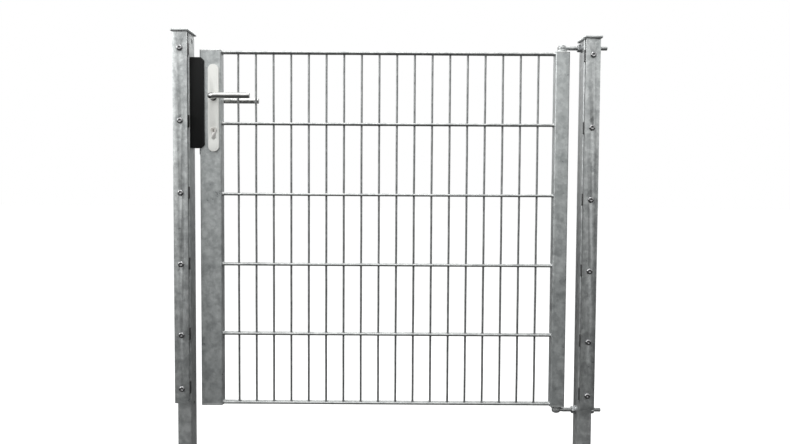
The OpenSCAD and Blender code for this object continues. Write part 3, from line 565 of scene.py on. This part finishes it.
stainless = bright_metal("stainless", (0.22, 0.22, 0.225), (0.40, 0.40, 0.405), (700.0, 700.0, 700.0),
                         0.10, 0.20, blotch_size=0.006)
head_tall = 5 * MM
sixth_turn = 1.05
bolt_places = [(Vector(((low.x + high.x) / 2, low.y + head_tall, (low.z + high.z) / 2)), Vector((0, -1, 0)))
               for low, high in solids_of("cover_bar_bolts")]
bar_head = button_head(across=17 * MM, tall=head_tall, socket=5 * MM, socket_depth=3 * MM,
                       shank=8 * MM, shank_length=40 * MM)
bar_screws = copies_of("cover_bar_screws", bar_head, bolt_places, stainless,
                       largest_turn=sixth_turn, turn_seed=11)
stands_for(bar_screws, "posts", "stainless_bolt", "cover_bar_bolts")

plated = bright_metal("zinc_plated", (0.34, 0.35, 0.355), (0.58, 0.59, 0.60), (300.0, 300.0, 300.0),
                      0.24, 0.42, blotch_size=0.004)
dress(plated, "bar_rivet_nuts", "keep_rivet_nuts")


# --------------------
# The eyebolts. Forged M12 eyes with a rolled thread, galvanised; each passes
# through the post and carries the leaf on a pin. The thread's end stands out on
# the far side of the post.
# --------------------

def threaded_rod(start, end, core, crest, pitch, centre):
    """A rod along X with a thread that fades in at its start and has a chamfered end."""
    around = 28
    rows = max(2, int((end - start) / (pitch / 5)))
    rings = []
    for row in range(rows + 1):
        x = start + (end - start) * row / rows
        fade = min(1.0, max(0.0, (x - start) / (2 * pitch)))
        end_cut = min(1.0, max(0.0, (end - x) / (1.2 * MM)))
        ring = []
        for i in range(around):
            turn_here = math.tau * i / around
            phase = ((x / pitch) - turn_here / math.tau) % 1.0
            ridge = 1.0 - abs(2.0 * phase - 1.0)
            radius = crest - (crest - core) * fade * (1.0 - ridge) - (1.0 - end_cut) * 0.9 * MM
            ring.append((x, centre.y + radius * math.cos(turn_here),
                         centre.z + radius * math.sin(turn_here)))
        rings.append(ring)
    return rings


def joined(name, meshes):
    """Several closed shells as one mesh."""
    work = bmesh.new()
    for mesh in meshes:
        work.from_mesh(mesh)
    mesh = bpy.data.meshes.new(name)
    work.to_mesh(mesh)
    work.free()
    return mesh


zinc_thread = galvanised("zinc_thread", (0.27, 0.28, 0.28), (0.55, 0.56, 0.56), 0.012, 0.006, 0.1,
                         seed=2.2, smooth=0.28, rough=0.46, relief=0.0002)
eye_reach = 12.5 * MM
eye_middle_r, eye_half_width, eye_half_height = 9.25 * MM, 3.2 * MM, 5.45 * MM
squareness = 0.62
thread_core_r, thread_crest_r, thread_pitch = 5.25 * MM, 5.9 * MM, 1.75 * MM
for end_name in ("upper", "lower"):
    low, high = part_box(end_name + "_eyebolt")
    eye = Vector((low.x + eye_reach, 0.0, (low.z + high.z) / 2))
    ring_section = []
    for step in range(20):
        a = math.tau * step / 20
        out, up = math.cos(a), math.sin(a)
        ring_section.append((eye_middle_r + eye_half_width * math.copysign(abs(out) ** squareness, out),
                             eye_half_height * math.copysign(abs(up) ** squareness, up)))
    eye_rings = [[(eye.x + r * math.cos(a), eye.y + r * math.sin(a), eye.z + z) for r, z in ring_section]
                 for a in (math.tau * i / 48 for i in range(48))]
    shank_start = eye.x + 8.2 * MM
    neck = []
    for part, reach, half_height in ((0.0, 8.0, 5.0), (0.25, 7.4, 5.0), (0.5, 6.6, 5.2),
                                     (0.75, 6.0, 5.5), (1.0, 5.9, 5.9)):
        x = shank_start + part * 12 * MM
        neck.append([(x, eye.y + reach * MM * math.cos(a), eye.z + half_height * MM * math.sin(a))
                     for a in (math.tau * i / 28 for i in range(28))])
    plain_end = -34 * MM
    shank = threaded_rod(plain_end, high.x, thread_core_r, thread_crest_r, thread_pitch, eye)
    bolt_mesh = joined(end_name + "_eye_mesh",
                       [skin(eye_rings, "eye", loop=True), skin(neck + shank, "shank")])
    eyebolt = put_in_scene(end_name + "_hinge_eye", bolt_mesh, zinc_thread)
    stands_for(eyebolt, "posts", "galvanised_rod", end_name + "_eyebolt")


# --------------------
# The hinge nuts and washers. M12 hexagon nuts with turned-off corners, zinc
# plated, one on each side of the post at both eyebolts, set against flat washers.
# --------------------

def hex_nut(across_flats, tall, bore):
    """A nut from the origin up +Z, chamfered above and below."""
    around = 48
    corner = across_flats / 2 / math.cos(math.pi / 6)
    face = across_flats / 2 * 0.96
    rings = []
    for z, limit in ((0.0, face), (0.5 * MM, face + 0.9 * MM), (1.15 * MM, corner),
                     (tall - 1.15 * MM, corner), (tall - 0.5 * MM, face + 0.9 * MM), (tall, face)):
        rings.append(hexagon(across_flats, z, around, limit))
    for z, radius in ((tall, bore / 2 + 0.8 * MM), (tall - 0.8 * MM, bore / 2), (0.8 * MM, bore / 2),
                      (0.0, bore / 2 + 0.8 * MM)):
        rings.append(circle(radius, z, around))
    return skin(rings, "hex_nut", loop=True)


def facing_out(low, high):
    """The post's face that a part beside it looks away from, and the way it looks."""
    side = 1 if low.x > 0 else -1
    return Vector((low.x if side > 0 else high.x, 0.0, (low.z + high.z) / 2)), Vector((side, 0, 0))


nut_places = [facing_out(low, high) for low, high in solids_of("hinge_nuts")]
nuts = copies_of("hinge_hex_nuts", hex_nut(across_flats=19 * MM, tall=10 * MM, bore=12.1 * MM),
                 nut_places, plated, largest_turn=sixth_turn, turn_seed=5)
stands_for(nuts, "posts", "zinc_plated", "hinge_nuts")
washers = put_in_scene("hinge_flat_washers", rounded_copy("hinge_washers", 0.35 * MM, 2, 50.0), plated)
stands_for(washers, "posts", "zinc_plated", "hinge_washers")


# --------------------
# The keep. One block of black polyamide with a fine grain, screwed to the strike
# post; its flange stops the leaf and its pockets take the latch and the bolt.
# --------------------

black_polyamide = moulded("black_polyamide", (0.005, 0.0052, 0.0052), (0.009, 0.0095, 0.0095),
                          (0.018, 0.018, 0.018), 0.60, 0.0005, 0.3, relief=0.00006)
black_polyamide.node_tree.nodes["Principled BSDF"].inputs["Specular IOR Level"].default_value = 0.22
keep = put_in_scene("keep_block", rounded_copy("keep", 1.1 * MM, 3), black_polyamide)
stands_for(keep, "posts", "keep_plastic", "keep")
keep_screw_places = [(Vector((high.x - head_tall, (low.y + high.y) / 2, (low.z + high.z) / 2)),
                      Vector((1, 0, 0))) for low, high in solids_of("keep_screws")]
keep_head = button_head(across=14 * MM, tall=head_tall, socket=5 * MM, socket_depth=3 * MM,
                        shank=8 * MM, shank_length=24 * MM)
keep_screws = copies_of("keep_button_screws", keep_head, keep_screw_places, stainless,
                        largest_turn=sixth_turn, turn_seed=8)
stands_for(keep_screws, "posts", "stainless_bolt", "keep_screws")


# --------------------
# The leaf's frame. Lock stile 60 x 40 mm and hinge stile 40 x 40 mm, tubes with
# plates welded into their ends, galvanised together with the mat. The weld stands
# as a low bead round each plate.
# --------------------

zinc_stile = galvanised("zinc_stile", (0.34, 0.36, 0.362), (0.60, 0.625, 0.622),
                        0.026, 0.009, 0.4, seed=12.3)
dress(zinc_stile, "lock_stile", "hinge_stile")
for side in ("lock", "hinge"):
    plates = put_in_scene(side + "_stile_end_plates",
                          rounded_copy(side + "_stile_plates", 0.8 * MM, 3, 50.0), zinc_plate)
    stands_for(plates, "leaf", "galvanised_plate", side + "_stile_plates")


def bead_round(path, radius, size_seed, around=8):
    """A weld bead round a closed path of points, its thickness rippled as the weld was laid."""
    rings = []
    for i, point in enumerate(path):
        along = (path[(i + 1) % len(path)] - path[i - 1]).normalized()
        side_way = along.orthogonal().normalized()
        up_way = along.cross(side_way)
        size = radius * (1.0 + 0.25 * noise.noise(point * 420.0 + Vector((size_seed, 0, 0))))
        rings.append([point + side_way * size * math.cos(a) + up_way * size * math.sin(a)
                      for a in (math.tau * k / around for k in range(around))])
    return skin(rings, "bead", loop=True)


def rectangle_path(low, high, z, corner, step=1.5 * MM):
    """Points round a rounded rectangle at height z."""
    points = []
    corners = [(high.x - corner, high.y - corner, 0.0), (low.x + corner, high.y - corner, 90.0),
               (low.x + corner, low.y + corner, 180.0), (high.x - corner, low.y + corner, 270.0)]
    for x, y, start in corners:
        for k in range(5):
            a = math.radians(start + 90.0 * k / 4)
            points.append(Vector((x + corner * math.cos(a), y + corner * math.sin(a), z)))
    dense = []
    for i, point in enumerate(points):
        nxt = points[(i + 1) % len(points)]
        parts = max(1, int((nxt - point).length / step))
        dense += [point.lerp(nxt, k / parts) for k in range(parts)]
    return dense


stile_low, stile_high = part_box("hinge_stile")
stile_middle = (stile_low.z + stile_high.z) / 2
seams = []
for side in ("lock", "hinge"):
    for low, high in solids_of(side + "_stile_plates"):
        joint_z = low.z if low.z > stile_middle else high.z
        inset = Vector((0.55 * MM, 0.55 * MM, 0.0))
        seam_path = rectangle_path(low + inset, high - inset, joint_z, 3.6 * MM)
        seams.append(bead_round(seam_path, 0.75 * MM, joint_z))
seat_weld_r = 15.1 * MM
for low, high in solids_of("pivot_seats"):
    root_z = low.z if low.z > stile_middle else high.z
    centre = (low + high) / 2
    ring_path = [Vector((centre.x + seat_weld_r * math.cos(a), centre.y + seat_weld_r * math.sin(a), root_z))
                 for a in (math.tau * i / 60 for i in range(60))]
    seams.append(bead_round(ring_path, 1.3 * MM, 5.0 + root_z))
weld_seams = put_in_scene("stile_weld_seams", joined("weld_seams", seams), zinc_plate)
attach(weld_seams, "leaf")


# --------------------
# The pivots. A turned seat is welded on each end of the hinge stile with a 12 mm
# pin through it; the pin turns in the eye and a ring pressed on it keeps it there.
# --------------------

seats = put_in_scene("pivot_seat_rings", rounded_copy("pivot_seats", 0.9 * MM, 3, 50.0), zinc_plate)
stands_for(seats, "leaf", "galvanised_plate", "pivot_seats")
pins = put_in_scene("pivot_pin_ends", rounded_copy("pivot_pins", 1.0 * MM, 3, 50.0), zinc_thread)
stands_for(pins, "leaf", "galvanised_rod", "pivot_pins")
rings_on_pins = put_in_scene("pivot_push_rings", rounded_copy("pin_rings", 0.3 * MM, 2, 50.0), plated)
stands_for(rings_on_pins, "leaf", "zinc_plated", "pin_rings")


# --------------------
# The mat. Drawn 6 mm upright wires lie between pairs of 8 mm level rods and are
# spot-welded at every crossing, then galvanised, so that each crossing holds a
# small fillet of zinc and no wire is quite straight.
# --------------------

# Straight round bars in a row, each with a slight bow and its ends cut square
bar_row, given, put = new_group(
    "bar_row",
    [("Geometry", "NodeSocketGeometry", None), ("First", "NodeSocketVector", None),
     ("Step", "NodeSocketVector", None), ("Count", "NodeSocketInt", 1),
     ("Run", "NodeSocketVector", None), ("Radius", "NodeSocketFloat", 0.003),
     ("Bow", "NodeSocketFloat", 0.0004), ("Bow seed", "NodeSocketFloat", 0.0),
     ("Finish", "NodeSocketMaterial", None)],
    [("Geometry", "NodeSocketGeometry")], kind="GeometryNodeTree")
centre_line = add(bar_row, "GeometryNodeCurvePrimitiveLine",
                  {"Start": (0.0, 0.0, 0.0), "End": given["Run"]})
divided = add(bar_row, "GeometryNodeResampleCurve", {"Curve": centre_line.outputs[0], "Count": 81})
starts = add(bar_row, "GeometryNodeMeshLine",
             {"Count": given["Count"], "Start Location": given["First"], "Offset": given["Step"]})
laid = add(bar_row, "GeometryNodeInstanceOnPoints",
           {"Points": starts.outputs[0], "Instance": divided.outputs[0]})
loose = add(bar_row, "GeometryNodeRealizeInstances", {"Geometry": laid.outputs[0]})
here = add(bar_row, "GeometryNodeInputPosition")
wave = noise_at(bar_row, here.outputs[0], 7.0, 1.0, seed=given["Bow seed"])
centred = add(bar_row, "ShaderNodeVectorMath", {0: wave.outputs["Color"], 1: (0.5, 0.5, 0.5)},
              operation="SUBTRACT")
sized = add(bar_row, "ShaderNodeVectorMath", {0: centred.outputs[0]}, operation="SCALE")
bar_row.links.new(maths(bar_row, "MULTIPLY", given["Bow"], 2.0), sized.inputs["Scale"])
bowed = add(bar_row, "GeometryNodeSetPosition", {"Geometry": loose.outputs[0], "Offset": sized.outputs[0]})
section = add(bar_row, "GeometryNodeCurvePrimitiveCircle", {"Resolution": 14, "Radius": given["Radius"]})
round_bars = add(bar_row, "GeometryNodeCurveToMesh",
                 {"Curve": bowed.outputs[0], "Profile Curve": section.outputs[0], "Fill Caps": True})
all_bars = add(bar_row, "GeometryNodeRealizeInstances", {"Geometry": round_bars.outputs[0]})
zinced = add(bar_row, "GeometryNodeSetMaterial",
             {"Geometry": all_bars.outputs[0], "Material": given["Finish"]})
bar_row.links.new(zinced.outputs[0], put["Geometry"])

# painted shade: the mat's wire and rod zinc are set darker than the stiles' zinc, the wires most, for the
# shade that thin wires and rod undersides show; part of the rods' grey is the zinc's own tone
shaded_zinc_wire = galvanised("shaded_zinc_wire", (0.16, 0.165, 0.165), (0.36, 0.37, 0.37), 0.020, 0.006, 0.15,
                       seed=3.3, smooth=0.30, rough=0.46, relief=0.0002)
shaded_zinc_rod = galvanised("shaded_zinc_rod", (0.25, 0.26, 0.26), (0.50, 0.51, 0.505), 0.022, 0.007, 0.12,
                      seed=5.5, metal=0.8, smooth=0.26, rough=0.42, relief=0.0002)

wires = solids_of("upright_wires")
wire_low, wire_high = wires[0]
wire_r = (wire_high.x - wire_low.x) / 2
wire_step = (wires[-1][0].x - wire_low.x) / (len(wires) - 1)
wire_first = (wire_low.x + wire_high.x) / 2
upright = grown("upright_mat_wires", bar_row, bpy.data.meshes.new("none"),
                {"First": (wire_first, 0.0, wire_low.z), "Step": (wire_step, 0.0, 0.0), "Count": len(wires),
                 "Run": (0.0, 0.0, wire_high.z - wire_low.z), "Radius": wire_r,
                 "Bow": 0.0007, "Bow seed": 1.0}, shaded_zinc_wire)
stands_for(upright, "leaf", "galvanised_wire", "upright_wires")

rod_places = {}
for layer, seed in (("front", 2.0), ("rear", 6.0)):
    rods = solids_of(layer + "_rods")
    rod_low, rod_high = rods[0]
    rod_r = (rod_high.z - rod_low.z) / 2
    rod_y = (rod_low.y + rod_high.y) / 2
    rod_step = (rods[-1][0].z - rod_low.z) / (len(rods) - 1)
    rod_places[layer] = (rod_y, [low.z + rod_r for low, high in rods], rod_low.x, rod_high.x)
    level = grown(layer + "_mat_rods", bar_row, bpy.data.meshes.new("none"),
                  {"First": (rod_low.x, rod_y, rod_low.z + rod_r), "Step": (0.0, 0.0, rod_step),
                   "Count": len(rods), "Run": (rod_high.x - rod_low.x, 0.0, 0.0), "Radius": rod_r,
                   "Bow": 0.0005, "Bow seed": seed}, shaded_zinc_rod)
    stands_for(level, "leaf", "galvanised_wire", layer + "_rods")

# Zinc held in each crossing, a flat bead between wire and rod
bead_r, bead_half_height = 2.9 * MM, 1.3 * MM
bead_rings = [circle(bead_r * math.cos(b), bead_half_height * math.sin(b), 12)
              for b in (math.radians(d) for d in (-80, -50, -22, 0, 22, 50, 80))]
crossings = []
for layer in ("front", "rear"):
    rod_y, heights = rod_places[layer][:2]
    side_way = 1 if rod_y > 0 else -1
    for z in heights:
        for i in range(len(wires)):
            crossings.append((Vector((wire_first + i * wire_step, side_way * wire_r, z)),
                              Vector((0, side_way, 0))))
crossing_welds = copies_of("crossing_welds", skin(bead_rings, "crossing_bead"), crossings, shaded_zinc_wire)
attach(crossing_welds, "leaf")

# Fillets where each rod is welded to a stile: a flared collar that climbs the rod
collar_outline = ((3.6, 0.02), (5.9, 0.02), (5.7, 0.4), (5.0, 0.9),
                  (4.5, 1.7), (4.2, 2.7), (4.03, 3.8), (3.6, 4.1))
collar_rings = [circle(radius * MM, z * MM, 20) for radius, z in collar_outline]
collars = []
for layer in ("front", "rear"):
    rod_y, heights, first_x, last_x = rod_places[layer]
    for z in heights:
        collars.append((Vector((first_x, rod_y, z)), Vector((1, 0, 0))))
        collars.append((Vector((last_x, rod_y, z)), Vector((-1, 0, 0))))
rod_welds = copies_of("rod_end_welds", skin(collar_rings, "rod_collar"), collars, shaded_zinc_rod,
                      largest_turn=6.28, turn_seed=21)
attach(rod_welds, "leaf")


# --------------------
# The mortise lock. A zinc-plated case in the lock stile, behind a ground stainless
# forend; latch and dead bolt are nickel-plated and slide through it. Inside, the
# follower turns with the levers and draws the latch against a coil spring.
# --------------------

dress(plated, "lock_case", "lock_case_cover", "follower", "lever_spindle", "cylinder_cam")
ground_steel = bright_metal("ground_steel", (0.52, 0.53, 0.53), (0.76, 0.77, 0.77), (1500.0, 1500.0, 30.0),
                            0.24, 0.38)
forend = put_in_scene("forend_strip", rounded_copy("forend_plate", 0.4 * MM, 2, 50.0), ground_steel)
stands_for(forend, "leaf", "stainless_plate", "forend_plate")
nickel = bright_metal("nickel_plate", (0.55, 0.54, 0.50), (0.78, 0.77, 0.73), (900.0, 60.0, 900.0),
                      0.18, 0.32)
for bolt_name, body in (("latch_bolt", "latch"), ("dead_bolt", "bolt")):
    slider = put_in_scene(bolt_name + "_slide", rounded_copy(bolt_name, 0.5 * MM, 2, 25.0), nickel)
    stands_for(slider, body, "stainless_plate", bolt_name)
spring_wire = bright_metal("spring_wire", (0.26, 0.26, 0.27), (0.46, 0.46, 0.47), (500.0, 500.0, 500.0),
                           0.3, 0.45)
coil = put_in_scene("latch_coil_spring", merged_copy("latch_spring"), spring_wire)
stands_for(coil, "leaf", "spring_steel", "latch_spring")
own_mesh(coil)
dress(stainless, "forend_screws", "cylinder_screw", "escutcheon_screws", "lever_grub_screws")


# --------------------
# The profile cylinder. Nickel-plated brass, its plugs a shade yellower with the
# keyway milled in; one long screw through the forend holds it.
# --------------------

matt_nickel = bright_metal("matt_nickel", (0.56, 0.55, 0.53), (0.70, 0.69, 0.67), (200.0, 2000.0, 200.0),
                           0.36, 0.48, metal=0.5)
plug_nickel = bright_metal("plug_nickel", (0.48, 0.46, 0.43), (0.62, 0.60, 0.56), (400.0, 2000.0, 400.0),
                           0.32, 0.44, metal=0.5)
cylinder = put_in_scene("profile_cylinder", rounded_copy("cylinder_body", 0.35 * MM, 2, 50.0), matt_nickel)
stands_for(cylinder, "leaf", "nickel_brass", "cylinder_body")
dress(plug_nickel, "front_plug", "rear_plug")


# --------------------
# The escutcheons. Long plates of silver-anodised aluminium with full rounded
# ends and soft edges, screwed through the stile to each other from the rear.
# --------------------

silver = bright_metal("silver_anodised", (0.74, 0.745, 0.715), (0.80, 0.805, 0.775), (60.0, 1400.0, 1400.0),
                      0.40, 0.52, blotch_size=0.03, relief=0.00002, metal=0.25)
for face in ("front", "rear"):
    plate = put_in_scene(face + "_long_plate", rounded_copy(face + "_escutcheon", 1.5 * MM, 4, 50.0),
                         silver)
    stands_for(plate, "leaf", "silver_anodised", face + "_escutcheon")


# --------------------
# The levers. Round 16 mm bar bent through a right angle, brushed and polished
# along its length; the end is cut square and its edge broken. A nylon bush carries
# each neck.
# --------------------

nylon = moulded("nylon_bush", (0.035, 0.035, 0.036), (0.06, 0.06, 0.06), (0.09, 0.09, 0.09),
                0.45, 0.0006, 0.1)
dress(nylon, "lever_bushes")

polished = bright_metal("polished_lever", (0.42, 0.42, 0.41), (0.60, 0.60, 0.59), (50.0, 1100.0, 1100.0),
                        0.08, 0.16, blotch_size=0.02, relief=0.00002)
spindle_low, spindle_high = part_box("lever_spindle")
spindle_x = (spindle_low.x + spindle_high.x) / 2
spindle_z = (spindle_low.z + spindle_high.z) / 2
bend_r = 14 * MM
for face, side_way in (("front", -1), ("rear", 1)):
    low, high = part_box(face + "_lever")
    lever_r = (high.z - low.z) / 2
    grip_y = (high.y - lever_r) if side_way > 0 else (low.y + lever_r)
    root_y = low.y if side_way > 0 else high.y
    bend_y = grip_y - side_way * bend_r
    centres = []
    for part in (0.0, 0.06, 0.5, 1.0):
        centres.append((Vector((spindle_x, root_y + (bend_y - root_y) * part, spindle_z)),
                        Vector((0, side_way, 0)), 1.0))
    for step in range(1, 13):
        a = math.radians(90.0 * step / 12)
        centres.append((Vector((spindle_x + bend_r * (1 - math.cos(a)),
                                grip_y - side_way * bend_r * (1 - math.sin(a)), spindle_z)),
                        Vector((math.sin(a), side_way * math.cos(a), 0)), 1.0))
    grip_x = spindle_x + bend_r
    for part, size in ((0.3, 1.0), (0.6, 1.0), (0.9, 1.0), (0.987, 1.0), (0.996, 0.975), (1.0, 0.92)):
        centres.append((Vector((grip_x + (high.x - grip_x) * part, grip_y, spindle_z)),
                        Vector((1, 0, 0)), size))
    rings = []
    for centre, along, size in centres:
        across = along.cross(Vector((0, 0, 1)))
        rings.append([centre + (across * math.cos(a) + Vector((0, 0, 1)) * math.sin(a)) * lever_r * size
                      for a in (math.tau * i / 40 for i in range(40))])
    lever = put_in_scene(face + "_lever_handle", skin(rings, face + "_lever_mesh"), polished)
    stands_for(lever, "handles", "polished_lever", face + "_lever")


# --------------------
# The place it stands in: a pale floor, a white room, soft light from above, from
# the left and from behind, and a camera a little over two metres in front.
# --------------------

scene = bpy.context.scene
scene.view_settings.view_transform = "Standard"

floor_mesh = bpy.data.meshes.new("floor")
reach = 30.0
floor_mesh.from_pydata([(-reach, -reach, 0), (reach, -reach, 0), (reach, reach, 0), (-reach, reach, 0)],
                       [], [(0, 1, 2, 3)])
floor = bpy.data.objects.new("floor", floor_mesh)
scene.collection.objects.link(floor)
floor_finish = bpy.data.materials.new("pale_floor")
floor_finish.use_nodes = True
tree = floor_finish.node_tree
tree.nodes.clear()
seen = add(tree, "ShaderNodeLightPath").outputs["Is Camera Ray"]
pale = add(tree, "ShaderNodeBsdfDiffuse", {"Color": (0.50, 0.50, 0.50, 1.0)})
glow = add(tree, "ShaderNodeEmission", {"Color": (1.0, 1.0, 1.0, 1.0), "Strength": 0.42})
lit = add(tree, "ShaderNodeAddShader", {0: pale.outputs[0], 1: glow.outputs[0]})
dim = add(tree, "ShaderNodeBsdfDiffuse", {"Color": (0.06, 0.06, 0.06, 1.0)})
both = add(tree, "ShaderNodeMixShader", {0: seen, 1: dim.outputs[0], 2: lit.outputs[0]})
add(tree, "ShaderNodeOutputMaterial", {0: both.outputs[0]})
floor_mesh.materials.append(floor_finish)

room = bpy.data.worlds.new("room")
scene.world = room
room.use_nodes = True
tree = room.node_tree
tree.nodes.clear()
way = add(tree, "ShaderNodeSeparateXYZ", {0: add(tree, "ShaderNodeTexCoord").outputs["Generated"]}).outputs
behind = spread(tree, way["Y"], -0.2, 0.9, 1.0, 0.62)
aside = spread(tree, way["X"], -0.3, 0.8, 1.0, 0.85)
ramp = add(tree, "ShaderNodeValToRGB", {0: maths(tree, "ADD", maths(tree, "MULTIPLY", way["Z"], 0.5), 0.5)})
ramp.color_ramp.interpolation = "EASE"
stops = ((0.0, 0.08), (0.47, 0.14), (0.505, 0.62), (0.58, 1.15), (1.0, 1.7))
for i, (spot, shade) in enumerate(stops):
    element = ramp.color_ramp.elements[i] if i < 2 else ramp.color_ramp.elements.new(spot)
    element.position = spot
    element.color = (shade, shade * 1.005, shade, 1.0)
soft = add(tree, "ShaderNodeBackground",
           {"Color": ramp.outputs[0], "Strength": maths(tree, "MULTIPLY", behind, aside)})
white = add(tree, "ShaderNodeBackground", {"Color": (1.0, 1.0, 1.0, 1.0), "Strength": 1.0})
seen = add(tree, "ShaderNodeLightPath").outputs["Is Camera Ray"]
both = add(tree, "ShaderNodeMixShader", {0: seen, 1: soft.outputs[0], 2: white.outputs[0]})
add(tree, "ShaderNodeOutputWorld", {0: both.outputs[0]})


def soft_light(name, power, size, place, target):
    light = bpy.data.lights.new(name, "AREA")
    light.shape = "RECTANGLE"
    light.size, light.size_y = size
    light.energy = power
    lamp = bpy.data.objects.new(name, light)
    lamp.location = place
    lamp.rotation_euler = (Vector(target) - Vector(place)).to_track_quat("-Z", "Y").to_euler()
    scene.collection.objects.link(lamp)


soft_light("key_light", 48.0, (2.0, 1.6), (-3.5, -1.1, 2.3), (-0.5, 0.0, 1.0))
soft_light("top_light", 32.0, (1.8, 1.0), (-0.9, -1.0, 3.6), (-0.55, 0.0, 0.9))
soft_light("back_light", 42.0, (2.6, 1.4), (-0.2, 2.7, 2.9), (-0.55, 0.0, 0.9))

camera_data = bpy.data.cameras.new("camera")
camera_data.lens = 36.456
camera_data.sensor_width = 36.0
camera_data.clip_start = 0.05
camera = bpy.data.objects.new("camera", camera_data)
scene.collection.objects.link(camera)
yaw, pitch, roll = (math.radians(angle) for angle in (-0.05, -2.95, 0.34))
forward = Vector((math.sin(yaw) * math.cos(pitch), math.cos(yaw) * math.cos(pitch), math.sin(pitch)))
level_right = Vector((math.cos(yaw), -math.sin(yaw), 0.0))
level_up = level_right.cross(forward)
right = level_right * math.cos(roll) + level_up * math.sin(roll)
up = level_up * math.cos(roll) - level_right * math.sin(roll)
camera.matrix_world = Matrix(((right.x, up.x, -forward.x, -0.5426),
                              (right.y, up.y, -forward.y, -2.2841),
                              (right.z, up.z, -forward.z, 1.1036),
                              (0.0, 0.0, 0.0, 1.0)))
scene.camera = camera
